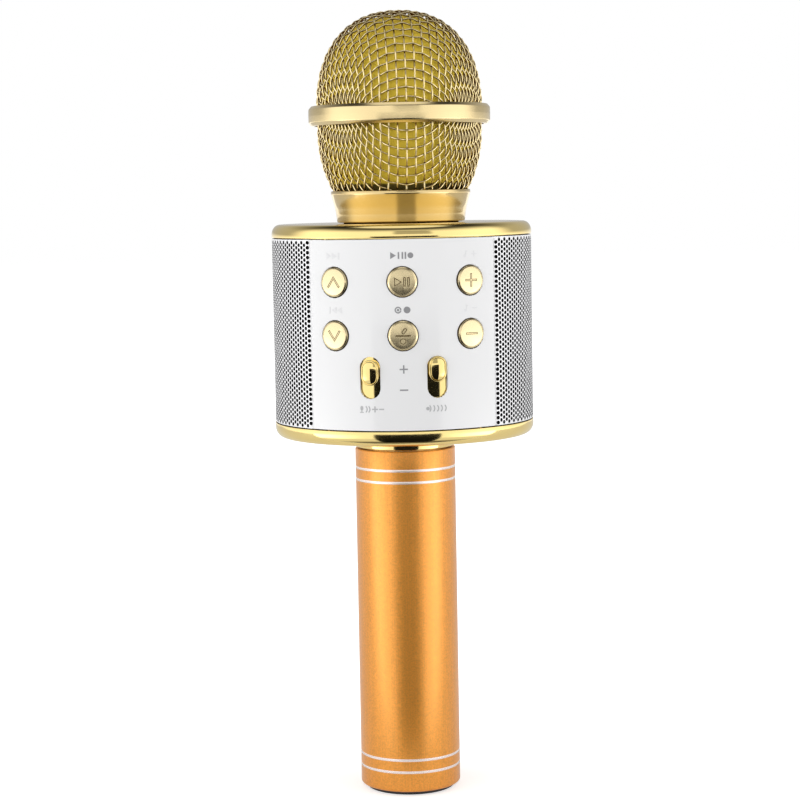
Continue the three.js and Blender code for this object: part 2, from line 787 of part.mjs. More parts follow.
// It plugs the neck, and the capsule stands in the cup at its top.
function capsuleHolder() {
  const bore = 2.2;
  const cupFloor = CAPSULE_BOTTOM - 0.4;
  return ring(
    [
      [bore, BARREL_TOP - 1],
      [12.6, BARREL_TOP - 1],
      [12.6, NECK_TOP + 0.6],
      [10.4, NECK_TOP + 3.1],
      [10.4, CAPSULE_BOTTOM + 3],
      [8.9, CAPSULE_BOTTOM + 3],
      [8.9, cupFloor],
      [bore, cupFloor],
    ],
    24,
  );
}

function head(group) {
  add(group, "capsule_holder", materials.rubber, capsuleHolder());
  add(group, "mic_capsule", materials.steel, disc(8.5, CAPSULE_BOTTOM, CAPSULE_BOTTOM + 12, 24));
  add(group, "head_collar", materials.gold, collar());
  add(group, "grille_basket", materials.wire, basket());
  add(group, "band_ring", materials.gold, band());
  add(group, "grille_dome", materials.wire, dome());
  add(group, "foam_liner", materials.foam, foam());
}

const microphone = new THREE.Group();
handle(microphone);
handleEnd(microphone);
barrel(microphone);
controls(microphone);
speakers(microphone);
electronics(microphone);
head(microphone);

export default microphone;
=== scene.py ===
"""A karaoke microphone's looks: detailed pieces, materials, camera and light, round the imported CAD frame."""

import json
import math
import random

import bmesh
import bpy
import numpy as np
from mathutils import Matrix, Vector


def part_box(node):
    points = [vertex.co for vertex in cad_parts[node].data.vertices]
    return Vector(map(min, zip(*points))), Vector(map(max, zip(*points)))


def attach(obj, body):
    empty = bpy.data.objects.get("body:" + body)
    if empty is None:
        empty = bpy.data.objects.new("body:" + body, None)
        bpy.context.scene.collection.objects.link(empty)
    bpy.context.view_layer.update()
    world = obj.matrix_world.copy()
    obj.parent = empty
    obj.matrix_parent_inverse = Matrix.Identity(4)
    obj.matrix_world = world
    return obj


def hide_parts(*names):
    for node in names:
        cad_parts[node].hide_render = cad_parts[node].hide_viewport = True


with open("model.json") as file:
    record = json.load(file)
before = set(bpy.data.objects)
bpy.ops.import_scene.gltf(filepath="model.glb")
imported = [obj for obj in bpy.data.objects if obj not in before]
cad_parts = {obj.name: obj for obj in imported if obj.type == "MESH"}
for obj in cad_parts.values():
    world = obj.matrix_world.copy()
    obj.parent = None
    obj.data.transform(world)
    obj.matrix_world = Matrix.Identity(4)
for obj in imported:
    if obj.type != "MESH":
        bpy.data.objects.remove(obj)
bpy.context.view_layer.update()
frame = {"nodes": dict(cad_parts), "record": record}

MM = 0.001  # shapes are drawn in millimetres, and scaled when their mesh is made
SHARP = 35  # degrees: an edge that turns by more than this is shown sharp
random.seed(7)


# ---- Sizes taken from the frame, in millimetres ----
def node_box(node):
    low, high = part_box(node)
    return low / MM, high / MM


def radius_of(node):
    return node_box(node)[1].x


def heights_of(node):
    low, high = node_box(node)
    return low.z, high.z


BARREL_RADIUS = radius_of("top_cap")
HANDLE_RADIUS = radius_of("handle_tube")
TUBE_BOTTOM, TUBE_TOP = heights_of("handle_tube")
BARREL_BOTTOM = heights_of("bottom_cap")[0]
SKIN_BOTTOM, SKIN_TOP = heights_of("front_panel")
NECK_TOP = heights_of("top_cap")[1]
COLLAR_BOTTOM, COLLAR_TOP = heights_of("head_collar")
BAND_BOTTOM, BAND_TOP = heights_of("band_ring")
HEAD_TOP = heights_of("grille_dome")[1]
GAP = 0.3  # between one outer part and the next
BARREL_TOP = COLLAR_BOTTOM - GAP
SLIDE_HEIGHT = 125.2  # middle of the two slots
PANEL_ANGLE = 42.8  # degrees from the front to the panel's edge
GRILLE_ANGLE = 43.3  # degrees from the front to the grille's edge


# ---- Meshes ----
def placed(name, data):
    """A new object in the scene."""
    obj = bpy.data.objects.new(name, data)
    bpy.context.scene.collection.objects.link(obj)
    return obj


def mesh_object(name, vertices, faces, material, sharp=SHARP):
    """A shaded mesh object from points in millimetres."""
    mesh = bpy.data.meshes.new(name)
    mesh.from_pydata(np.asarray(vertices, float) * MM, [], faces)
    mesh.validate()
    mesh.shade_smooth()
    mesh.set_sharp_from_angle(angle=math.radians(sharp))
    mesh.materials.append(material)
    return placed(name, mesh)


def quads(low, high, count):
    """Faces between two rings of count points, the first of which have the indices low and high."""
    pairs = [(k, (k + 1) % count) for k in range(count)]
    return [(low + k, low + n, high + n, high + k) for k, n in pairs]


def lofted(name, rings, material, sharp=SHARP):
    """A closed solid through rings of points, which run anticlockwise seen from the last ring's end."""
    count = len(rings[0])
    last = count * (len(rings) - 1)
    faces = [tuple(reversed(range(count)))]
    for start in range(0, last, count):
        faces += quads(start, start + count, count)
    faces.append(tuple(range(last, last + count)))
    return mesh_object(name, [point for ring in rings for point in ring], faces, material, sharp)


def prism(name, outline, bottom, top, material):
    """An outline of (x, y) raised from bottom to top."""
    return lofted(name, [[(x, y, z) for x, y in outline] for z in (bottom, top)], material)


def fillet(corners, closed=True, steps=5):
    """Rounds each corner of an outline. A corner is (x, y) or, to round it, (x, y, radius)."""
    points = []
    count = len(corners)
    for i, (x, y, *radius) in enumerate(corners):
        here = Vector((x, y))
        if not radius or (not closed and i in (0, count - 1)):
            points.append(tuple(here))
            continue
        before, after = ((Vector(corners[k % count][:2]) - here).normalized() for k in (i - 1, i + 1))
        half = before.angle(after) / 2
        centre = here + (before + after).normalized() * (radius[0] / math.sin(half))
        start, end = (here + way * (radius[0] / math.tan(half)) - centre for way in (before, after))
        turn = start.angle_signed(end)
        for k in range(steps + 1):
            spoke = start.copy()
            spoke.rotate(Matrix.Rotation(-turn * k / steps, 2))
            points.append(tuple(centre + spoke))
    return points


def turned(name, profile, material, sides=128, closed=True):
    """A profile of (radius, height) turned round +Z. It goes up the outside. An open one ends on the axis."""
    vertices = []
    rings = []
    for radius, height in profile:
        on_axis = radius < 1e-6
        start = len(vertices)
        rings.append([start] * sides if on_axis else list(range(start, start + sides)))
        vertices += [(x, y, height) for x, y in ([(0, 0)] if on_axis else arc(radius, steps=sides))]
    faces = []
    for low, high in zip(rings, rings[1:] + rings[:1] if closed else rings[1:]):
        for k in range(sides):
            n = (k + 1) % sides
            corners = [low[k], low[n], high[n], high[k]]
            faces.append(tuple(dict.fromkeys(corners)))
    return mesh_object(name, vertices, [face for face in faces if len(face) > 2], material)


def evaluated(obj):
    graph = bpy.context.evaluated_depsgraph_get()
    return bpy.data.meshes.new_from_object(obj.evaluated_get(graph))


def modified(obj, kind, **settings):
    """Gives obj's mesh the result of a modifier."""
    modifier = obj.modifiers.new(kind, kind)
    for key, value in settings.items():
        setattr(modifier, key, value)
    mesh = evaluated(obj)
    obj.modifiers.clear()
    obj.data = mesh


def cut(obj, *cutters):
    """Takes the cutters' shapes out of obj. The new faces keep the cutters' material."""
    for cutter in cutters:
        settings = {"operation": "DIFFERENCE", "solver": "EXACT", "material_mode": "TRANSFER"}
        modified(obj, "BOOLEAN", object=cutter, **settings)
        bpy.data.objects.remove(cutter)
    obj.data.set_sharp_from_angle(angle=math.radians(SHARP))


def soften(obj):
    """Bevels the sharp edges by a tenth of a millimetre."""
    modified(obj, "BEVEL", width=0.1 * MM, segments=2, angle_limit=math.radians(40), harden_normals=True)


def join(*objects):
    """Puts several objects' meshes into the first one."""
    first = objects[0]
    with bpy.context.temp_override(active_object=first, selected_editable_objects=list(objects)):
        bpy.ops.object.join()
    return first


# ---- Outlines ----
def arc(radius, start=0, end=360, steps=48, centre=(0, 0)):
    full = abs(end - start) >= 360
    spokes = [math.radians(start + (end - start) * k / steps) for k in range(steps if full else steps + 1)]
    return [(centre[0] + radius * math.cos(a), centre[1] + radius * math.sin(a)) for a in spokes]


def stadium(width, height, centre=(0, 0), steps=20):
    radius = width / 2
    reach = height / 2 - radius
    top = arc(radius, 0, 180, steps, (centre[0], centre[1] + reach))
    bottom = arc(radius, 180, 360, steps, (centre[0], centre[1] - reach))
    return top + bottom


def rectangle(x0, x1, y0, y1):
    return [(x0, y0), (x1, y0), (x1, y1), (x0, y1)]


def centred(x, y, width, height):
    return rectangle(x - width / 2, x + width / 2, y - height / 2, y + height / 2)


def rounded(outline, radius, steps=6):
    return fillet([(x, y, radius) for x, y in outline], steps=steps)


def cross(arm, half, centre=(0, 0)):
    """A plus sign whose arms reach out by arm and are twice half wide."""
    quarter = [(arm, -half), (arm, half), (half, half)]
    points = []
    for _ in range(4):
        points += quarter
        quarter = [(-y, x) for x, y in quarter]
    return [(centre[0] + x, centre[1] + y) for x, y in points]


# ---- Flat patterns wrapped round the barrel ----
def plate(name, outlines, thickness, edge, material):
    """A flat plate with its top face at height 0. The first outline is its edge and the rest are holes."""
    curve = bpy.data.curves.new(name, "CURVE")
    curve.dimensions = "2D"
    curve.fill_mode = "BOTH"
    curve.extrude = (thickness / 2 - edge) * MM
    curve.bevel_depth = edge * MM
    curve.bevel_resolution = 2
    curve.offset = -edge * MM
    for outline in outlines:
        spline = curve.splines.new("POLY")
        spline.points.add(len(outline) - 1)
        for point, (x, y) in zip(spline.points, outline):
            point.co = (x * MM, y * MM, 0, 1)
        spline.use_cyclic_u = True
    flat = placed(name, curve)
    mesh = evaluated(flat)
    bpy.data.objects.remove(flat)
    mesh.transform(Matrix.Translation((0, 0, -thickness / 2 * MM)))
    mesh.materials.clear()
    mesh.materials.append(material)
    return placed(name, mesh)


def slice_across(obj, step):
    """Adds edges at equal steps of X, so that a flat piece can be bent."""
    bm = bmesh.new()
    bm.from_mesh(obj.data)
    bmesh.ops.remove_doubles(bm, verts=bm.verts, dist=1e-6)
    xs = [v.co.x for v in bm.verts]
    for k in range(math.ceil(min(xs) / MM / step), math.floor(max(xs) / MM / step) + 1):
        geometry = bm.verts[:] + bm.edges[:] + bm.faces[:]
        place = (k * step * MM, 0, 0)
        bmesh.ops.bisect_plane(bm, geom=geometry, dist=1e-7, plane_co=place, plane_no=(1, 0, 0))
    bm.to_mesh(obj.data)
    bm.free()


def wrap(obj, radius, step=0.7):
    """Bends a flat piece round the barrel: X becomes the way round, Y the height and Z the way out."""
    slice_across(obj, step)
    mesh = obj.data
    mesh.update()
    up = Vector((0, 0, 1))
    normals = []
    top = max(v.co.z for v in mesh.vertices)
    for v in mesh.vertices:
        flat = up if v.co.z > top - 1e-7 else v.normal.copy()
        a = v.co.x / (radius * MM)
        out = Vector((math.sin(a), -math.cos(a), 0))
        along = Vector((math.cos(a), math.sin(a), 0))
        normals.append(along * flat.x + up * flat.y + out * flat.z)
        v.co = out * (radius * MM + v.co.z) + up * v.co.y
    mesh.shade_smooth()
    mesh.update()
    mesh.normals_split_custom_set_from_vertices(normals)
    return obj


def outward(degrees, height):
    """The frame of a control: +Z points out of the barrel, and +Y is up."""
    a = math.radians(degrees)
    right = (math.cos(a), math.sin(a), 0)
    out = (math.sin(a), -math.cos(a), 0)
    basis = Matrix((right, (0, 0, 1), out)).transposed().to_4x4()
    return Matrix.Translation((0, 0, height * MM)) @ basis


def around(degrees):
    """The distance round the barrel's surface from the front."""
    return math.radians(degrees) * BARREL_RADIUS


# ---- Materials ----
class Nodes:
    """A node tree under construction."""

    def __init__(self, tree):
        self.tree = tree

    def feed(self, socket, value):
        """Links another node's output to the socket, or sets it to a constant."""
        if isinstance(value, bpy.types.NodeSocket):
            self.tree.links.new(value, socket)
        else:
            socket.default_value = value

    def node(self, kind, inputs, **settings):
        """The outputs of a new node."""
        made = self.tree.nodes.new("ShaderNode" + kind)
        for key, value in settings.items():
            setattr(made, key, value)
        for key, value in inputs.items():
            self.feed(made.inputs[key], value)
        return made.outputs

    def maths(self, operation, first, second=0.0):
        return self.node("Math", {0: first, 1: second}, operation=operation)[0]

    def vector(self, operation, first, second=(0, 0, 0)):
        return self.node("VectorMath", {0: first, 1: second}, operation=operation)

    def ramp(self, value, start, end, low=0.0, high=1.0):
        """A value that runs smoothly from low to high as the input runs from start to end."""
        inputs = {"Value": value, "From Min": start, "From Max": end, "To Min": low, "To Max": high}
        return self.node("MapRange", inputs, interpolation_type="SMOOTHSTEP")["Result"]


class Shader(Nodes):
    """A material under construction. Textures are placed in the row frame's millimetres."""

    def __init__(self, name):
        self.material = bpy.data.materials.new(name)
        self.material.use_nodes = True
        super().__init__(self.material.node_tree)
        self.surface = self.tree.nodes["Principled BSDF"]
        per_mm = 1 / MM
        self.place = self.vector("MULTIPLY", self.node("TexCoord", {})["Object"], (per_mm, per_mm, per_mm))[0]

    def set(self, **inputs):
        for key, value in inputs.items():
            self.feed(self.surface.inputs[key.replace("_", " ")], value)

    def noise(self, scale, detail=3, roughness=0.5, stretch=(1, 1, 1)):
        """Noise from 0 to 1. Scale is in features per millimetre, times stretch along each axis."""
        place = self.vector("MULTIPLY", self.place, stretch)[0]
        inputs = {"Vector": place, "Scale": scale, "Detail": detail, "Roughness": roughness}
        return self.node("TexNoise", inputs)["Fac"]

    def cells(self, scale):
        """The distance to the edges of a pattern of cells."""
        return self.node("TexVoronoi", {"Vector": self.place, "Scale": scale}, feature="DISTANCE_TO_EDGE")[0]

    def between(self, factor, low, high):
        """A value that runs from low to high as factor runs from 0 to 1."""
        return self.node("MapRange", {"Value": factor, "To Min": low, "To Max": high})["Result"]

    def blend(self, factor, first, second):
        colour = self.node("ValToRGB", {"Fac": factor})["Color"]
        stops = colour.node.color_ramp.elements
        stops[0].color = (*first, 1)
        stops[1].color = (*second, 1)
        return colour

    def bump(self, height, distance, strength=1.0):
        """Distance is the height of the bumps in millimetres."""
        inputs = {"Height": height, "Distance": distance * MM, "Strength": strength}
        self.set(Normal=self.node("Bump", inputs)["Normal"])


def shade(colour, factor):
    return tuple(c * factor for c in colour)


def mottled(name, tint, gloss, relief=None, **constants):
    """A material whose colour, roughness and height vary a little, each by its own noise.

    tint is (noise, colour, colour), gloss is (noise, roughness, roughness), relief is (noise, height).
    Each noise is what Shader.noise takes.
    """
    s = Shader(name)
    s.set(Base_Color=s.blend(s.noise(*tint[0]), *tint[1:]))
    s.set(Roughness=s.between(s.noise(*gloss[0]), *gloss[1:]), **constants)
    if relief:
        s.bump(s.noise(*relief[0]), relief[1])
    return s.material


def plated(name, colour, roughness, waviness=0.004):
    """Bright plating, with faint waves and fine wiping marks."""
    wiping = ((0.5, 6), roughness * 0.7, roughness * 1.4)
    return mottled(name, ((0.12,), shade(colour, 0.97), colour), wiping, ((0.35, 2), waviness), Metallic=1.0)


def anodised(name, colour):
    """Dyed satin aluminium under clear oxide: fine blasted grain, and faint streaks along the tube."""
    s = Shader(name)
    grain = s.noise(1.9, 4, 0.7)
    streaks = s.noise(1, 4, stretch=(3.0, 3.0, 0.05))
    speckle = s.maths("ADD", s.maths("MULTIPLY", grain, 0.75), s.maths("MULTIPLY", streaks, 0.25))
    s.set(Base_Color=s.blend(s.ramp(speckle, 0.3, 0.7), shade(colour, 0.78), shade(colour, 1.12)))
    s.set(Metallic=0.8, Roughness=s.between(grain, 0.25, 0.42))
    s.set(Coat_Weight=0.5, Coat_Roughness=0.3, Coat_IOR=1.77)
    s.bump(grain, 0.035)
    return s.material


def bright_cut(name):
    """Metal bared by a lathe tool, with its turning lines."""
    lines = (1, 3, 0.5, (0.02, 0.02, 22.0))
    tint = (lines, (0.95, 0.84, 0.80), (1.0, 0.93, 0.90))
    return mottled(name, tint, (lines, 0.2, 0.35), (lines, 0.004), Metallic=0.6)


def gloss_plastic(name, colour):
    tint = ((0.08,), shade(colour, 0.985), colour)
    gloss = ((0.7, 5), 0.072, 0.117)
    return mottled(name, tint, gloss, ((0.25, 1), 0.003), Coat_Weight=0.4, Coat_Roughness=0.04)


def moulded_plastic(name, colour, roughness=0.5):
    """Spark-textured plastic, worn a little smoother in patches."""
    tint = ((0.3,), shade(colour, 0.85), shade(colour, 1.15))
    return mottled(name, tint, ((0.4, 4), roughness * 0.85, roughness * 1.15), ((6,), 0.02))


def metal(name, colour, roughness):
    """Plain plated or rolled metal, with fine scratches."""
    scratches = (1, 5, 0.5, (0.8, 0.8, 14.0))
    gloss = (scratches, roughness * 0.7, roughness * 1.3)
    return mottled(name, ((0.6,), shade(colour, 0.9), colour), gloss, (scratches, 0.004), Metallic=1.0)


def woven_wire(name, colour, flank_shade, middle):
    """Plated wire, bright where it faces away from the middle of the head, with painted shade down its flanks.
    """
    s = Shader(name)
    outwards = s.vector("NORMALIZE", s.vector("SUBTRACT", s.place, middle)[0])[0]
    facing = s.vector("DOT_PRODUCT", outwards, s.node("TexCoord", {})["Normal"])["Value"]
    # painted shade: the colour darkens to the flank colour where the wire turns away from facing out of the
    # head
    painted_light_factor = s.maths("ADD", facing, s.between(s.noise(1.2), -0.12, 0.12))
    s.set(Base_Color=s.blend(s.ramp(painted_light_factor, 0.15, 0.75), flank_shade, colour))
    s.set(Metallic=1.0, Roughness=s.between(s.noise(0.8, 4), 0.14, 0.28))
    return s.material


def perforated_sheet(name):
    """Silver paint on the grille's sheet metal."""
    tint = ((0.5,), (0.88, 0.88, 0.90), (0.96, 0.96, 0.97))
    return mottled(name, tint, ((7,), 0.28, 0.42), ((8, 2), 0.006), Metallic=0.4)


def foam(name, colour, shade_line):
    """Open cells: a fine net of walls round pores, with painted shade where the relief is low. Below the given
    height, near the collar, painted shade darkens it almost to black.
    """
    s = Shader(name)
    fine = s.noise(3.5, 5, 0.7)
    walls = s.maths("MULTIPLY", s.cells(1.6), fine)
    height = s.node("SeparateXYZ", {0: s.place})[2]
    # painted shade: nearly black below the given height, where the foam meets the collar
    low_shade = s.ramp(height, shade_line - 0.3, shade_line + 0.3, 0.12, 1.0)
    s.set(Base_Color=s.blend(s.maths("MULTIPLY", s.between(walls, 0.9, 1.05), low_shade), (0, 0, 0), colour))
    s.set(Roughness=s.between(fine, 0.85, 1.0))
    s.bump(walls, 0.35, 0.8)
    return s.material


def woven_cloth(name, colour, threads=2.2):
    """A plain weave: two sets of threads at right angles, round the barrel and up it."""
    s = Shader(name)
    split = s.node("SeparateXYZ", {0: s.place})
    way_round = s.maths("MULTIPLY", s.maths("ARCTAN2", split[1], split[0]), 36.8)
    pattern = {"Vector": s.node("CombineXYZ", {0: way_round, 1: split[2]})[0], "Scale": threads}
    warp, weft = (s.node("TexWave", pattern, bands_direction=way)["Fac"] for way in "XY")
    weave = s.maths("MULTIPLY", warp, weft)
    s.set(Base_Color=s.blend(weave, shade(colour, 0.4), shade(colour, 1.6)))
    s.set(Roughness=s.between(weave, 0.85, 1.0), Specular_IOR_Level=0.2)
    s.bump(weave, 0.08)
    return s.material


def ink(name, colour):
    return mottled(name, ((4, 4), shade(colour, 0.92), shade(colour, 1.05)), ((5,), 0.3, 0.45))


def circuit_board(name):
    """Green solder mask over tracks that show as a slightly lighter pattern."""
    s = Shader(name)
    on_track = s.maths("LESS_THAN", s.cells(0.45), 0.08)
    s.set(Base_Color=s.blend(on_track, (0.012, 0.09, 0.035), (0.03, 0.2, 0.07)))
    s.set(Roughness=s.between(s.noise(1.5), 0.25, 0.4), Coat_Weight=0.3)
    s.bump(on_track, 0.03)
    return s.material


def sleeve(name, colour):
    """A cell's shrink sleeve, with faint creases."""
    creases = (1, 4, 0.5, (0.3, 0.3, 0.05))
    tint = ((0.15,), shade(colour, 0.9), colour)
    return mottled(name, tint, (creases, 0.22, 0.4), (creases, 0.08), Coat_Weight=0.3)


def frosted(name, colour):
    tint = ((1.0,), shade(colour, 0.9), colour)
    return mottled(name, tint, ((4,), 0.25, 0.4), ((5,), 0.01), Transmission_Weight=0.5, IOR=1.49)


GOLD_COLOUR = (0.93, 0.73, 0.30)
HEAD_MIDDLE = (0, 0, 197)
gold = plated("gold_plating", GOLD_COLOUR, 0.09)
satin_gold = plated("satin_gold_plating", (0.71, 0.54, 0.26), 0.14, 0.012)
pale_gold = plated("pale_gold_plating", (0.83, 0.66, 0.35), 0.17, 0.012)
slide_gold = plated("slide_plating", GOLD_COLOUR, 0.04, 0.002)
key_gold = plated("key_plating", (0.84, 0.70, 0.42), 0.24, 0.008)
# painted shade: dark bronze for the keys' side walls and the cut lines of their symbols
key_shade = plated("key_painted_shade", (0.20, 0.14, 0.06), 0.4, 0.001)
orange = anodised("orange_anodising", (0.92, 0.365, 0.04))
bared = bright_cut("bright_cut_aluminium")
# the second colour is the painted shade on the wires' flanks
wire = woven_wire("grille_wire", (1.0, 0.82, 0.43), (0.13, 0.06, 0.008), HEAD_MIDDLE)
# 179 mm: below this height the foam is darkened with painted shade
yellow_foam = foam("yellow_foam", (1.0, 0.72, 0.06), 179)
white = gloss_plastic("white_panel", (0.90, 0.90, 0.905))
silver = perforated_sheet("perforated_silver")
cloth = woven_cloth("black_speaker_cloth", (0.012, 0.012, 0.013))
grey_ink = ink("grey_ink", (0.30, 0.30, 0.31))
pale_ink = ink("pale_grey_ink", (0.50, 0.50, 0.51))
faint_ink = ink("faint_grey_ink", (0.80, 0.80, 0.81))
black = moulded_plastic("black_plastic", (0.016, 0.016, 0.018))
steel = metal("plated_steel", (0.62, 0.62, 0.63), 0.28)

CARRIED_OVER = {
    "steel": steel,
    "black_plastic": black,
    "battery": sleeve("battery_sleeve", (0.02, 0.14, 0.42)),
    "gold_plated": gold,
    "gold_metal": satin_gold,
    "circuit_board": circuit_board("circuit_board"),
    "key_gold": key_gold,
    "cloth": cloth,
    "perforated_metal": silver,
    "white_plastic": white,
    "anodised_tube": orange,
    "magnet": moulded_plastic("ferrite", (0.05, 0.05, 0.052), 0.6),
    "cone_paper": moulded_plastic("cone_paper", (0.02, 0.02, 0.022), 0.9),
    "ribbon": moulded_plastic("ribbon_film", (0.6, 0.5, 0.33), 0.35),
    "wire_insulation": moulded_plastic("red_insulation", (0.35, 0.01, 0.01), 0.4),
    "rubber": moulded_plastic("black_rubber", (0.02, 0.02, 0.021), 0.8),
    "grille_wire": wire,
    "foam": yellow_foam,
    "light_pipe": frosted("light_pipe", (0.75, 0.85, 1.0)),
}


def finish_frame():
    """Gives every CAD node the material of its slot."""
    for part in frame["record"]["subparts"]:
        mesh = frame["nodes"][part["node"]].data
        mesh.materials.clear()
        mesh.materials.append(CARRIED_OVER[part["material_slot"]])


def stand_for(obj, body, slot, *nodes):
    """obj is shown in place of those CAD nodes, and rides on their body."""
    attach(obj, body)
    if nodes:
        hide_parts(*nodes)


# ---- Handle ----
TUBE_WALL = 1.3
GROOVES = (7.1, 10.7, 92.6, 96.1)  # heights of the bright-cut rings
GROOVE_HALF = 0.33
GROOVE_DEPTH = 0.12
GROOVE_SLOPE = 0.05


def handle_tube():
    r = HANDLE_RADIUS
    bore = r - TUBE_WALL
    root = r - GROOVE_DEPTH
    outline = [(bore, TUBE_BOTTOM), (r, TUBE_BOTTOM, 0.9)]
    for z in GROOVES:
        low, high = z - GROOVE_HALF, z + GROOVE_HALF
        outline += [(r, low - GROOVE_SLOPE), (root, low), (root + GROOVE_SLOPE, z)]
        outline += [(root, high), (r, high + GROOVE_SLOPE)]
    outline += [(r, TUBE_TOP, 0.3), (bore, TUBE_TOP)]
    tube = turned("handle_tube_body", fillet(outline, steps=6), orange, sides=160)
    tube.data.materials.append(bared)
    for face in tube.data.polygons:
        outside = math.hypot(*face.center.xy) / MM > r - 0.3
        away = min(abs(face.center.z / MM - z) for z in GROOVES)
        face.material_index = int(outside and away < GROOVE_HALF + 0.1)
    stand_for(tube, "handset", "anodised_tube", "handle_tube")


def neck_ring():
    low, high = heights_of("neck_ring")
    bottom = TUBE_TOP + GAP
    top = BARREL_BOTTOM - GAP
    bore, spigot, flange, tenon = 8.5, 13.1, 14.4, 10.9
    outline = [(bore, low), (spigot, low, 0.4), (spigot, bottom), (flange, bottom, 0.35)]
    outline += [(flange, top, 0.25), (tenon, top), (tenon, high, 0.3), (bore, high)]
    stand_for(turned("neck_ring_turned", fillet(outline), gold), "handset", "gold_metal", "neck_ring")


# ---- Handle's end: the black plug, its sockets and the power slider ----
POWER_Y = -7
CHARGE_X = -6.8
AUDIO_X = 6.6
CARD_Y = 7.4
LIGHT_Y = 3.4
TWIST = 2  # degrees that the round openings are turned by, so that no corner falls on an edge of the plug


def end_plug():
    radius, bore, roof, top = 13.1, 11.9, 3, 7
    outline = [(0, 0), (radius, 0, 0.6), (radius, top, 0.2), (bore, top), (bore, roof), (0, roof)]
    plug = turned("end_plug_moulding", fillet(outline, closed=False), black, closed=False)
    openings = [
        rounded(centred(0, POWER_Y, 7, 3.6), 0.5),
        rounded(centred(CHARGE_X, 0, 3.4, 8.4), 1.4),
        rounded(centred(0, CARD_Y, 12, 1.6), 0.3),
        arc(3.2, TWIST, TWIST + 360, centre=(AUDIO_X, 0)),
        arc(1.15, TWIST, TWIST + 360, steps=24, centre=(0, LIGHT_Y)),
    ]
    cut(plug, *[prism("opening", shape, -1, roof + 1, black) for shape in openings])
    soften(plug)
    stand_for(plug, "handset", "black_plastic", "end_plug")


def power_slider():
    x = -1.5  # middle of the travel
    shoe = prism("power_slider_knob", rounded(centred(x, POWER_Y, 3.6, 3), 0.5), 0.6, 3.2, gold)
    grips = (-1.05, -0.35, 0.35, 1.05)
    cut(shoe, *[prism("grip", centred(x + offset, POWER_Y, 0.35, 4), 0, 0.9, gold) for offset in grips])
    soften(shoe)
    flat = prism("power_slider_plate", rounded(centred(x, POWER_Y, 9.4, 4.4), 0.4), 3.3, 4.1, gold)
    peg = prism("power_slider_peg", centred(x, POWER_Y, 1.2, 1), 4, 6.4, gold)
    stand_for(join(shoe, flat, peg), "power_slide", "gold_plated", "power_slider")


# ---- Barrel ----
EDGE_ROUND = (2.4, 2.9)  # each cap's outer edge is rounded this far in and this far along
CAP_PLATE = 2
LIP_INSIDE, LIP_OUTSIDE = 32.7, 34.2
LIP_HEIGHT = 4.3
RIM_INSIDE = 36
BOTTOM_HOLE = 11.2
NECK_BORE = 13
NECK_RADIUS = 16.75


def quarter_round(steps):
    """Points of a unit quarter circle, as (how far in, how far down) from the corner that it rounds."""
    return [(1 - x, 1 - y) for x, y in arc(1, 0, 90, steps)]


def cap_shell(edge, face, steps=12):
    """A cap's outline from under its plate, down its lip and round its rim, to its flat face."""
    way = 1 if face > edge else -1
    under = face - way * CAP_PLATE
    tip = under - way * LIP_HEIGHT
    outline = [(LIP_INSIDE, under), (LIP_INSIDE, tip), (LIP_OUTSIDE, tip), (LIP_OUTSIDE, under)]
    outline += [(RIM_INSIDE, under), (RIM_INSIDE, edge), (BARREL_RADIUS, edge, 0.15)]
    inward, along = EDGE_ROUND
    return outline + [(BARREL_RADIUS - inward * x, face - way * along * y) for x, y in quarter_round(steps)]


def bottom_cap():
    face = BARREL_BOTTOM
    inside = face + CAP_PLATE
    shell = cap_shell(SKIN_BOTTOM - GAP, face)
    outline = [(BOTTOM_HOLE, face, 0.3), *reversed(shell), (BOTTOM_HOLE, inside)]
    cap = turned("bottom_cap_plated", fillet(outline, steps=6), gold, sides=192)
    for place in screw_places():
        sink = prism("sink", arc(2.75, centre=place), face - 1, face + 1.3, gold)
        bore = prism("bore", arc(1.5, centre=place, steps=24), face - 1, inside + 1, gold)
        cut(cap, sink, bore)
    stand_for(cap, "handset", "gold_plated", "bottom_cap")


def screw_places():
    boxes = [node_box(f"cap_screw_{i}") for i in range(1, 5)]
    return [tuple(((low + high) / 2)[:2]) for low, high in boxes]


def cap_screws():
    """Pan-head screws with a cross slot."""
    for i, (x, y) in enumerate(screw_places(), start=1):
        head, tip = heights_of(f"cap_screw_{i}")
        shoulder = head + 0.8
        rim, shank = 2.4, 1.15
        outline = [(0, head), (rim, head, 0.5), (rim, shoulder), (shank, shoulder)]
        profile = fillet([*outline, (shank, tip - 0.3), (0, tip)], closed=False)
        screw = turned(f"cap_screw_{i}_detailed", profile, steel, sides=40, closed=False)
        cut(screw, prism("slot", cross(1.2, 0.25), head - 0.5, head + 0.5, steel))
        screw.data.transform(Matrix.Translation((x * MM, y * MM, 0)))
        stand_for(screw, "handset", "steel", f"cap_screw_{i}")


def top_cap():
    outline = [(NECK_BORE, BARREL_TOP - CAP_PLATE), *cap_shell(SKIN_TOP + GAP, BARREL_TOP)]
    outline += [(NECK_RADIUS, BARREL_TOP, 0.3), (NECK_RADIUS, NECK_TOP, 0.5), (NECK_BORE, NECK_TOP, 0.3)]
    cap = turned("top_cap_plated", fillet(outline, steps=6), gold, sides=192)
    stand_for(join(cap, neck_thread()), "handset", "gold_plated", "top_cap")


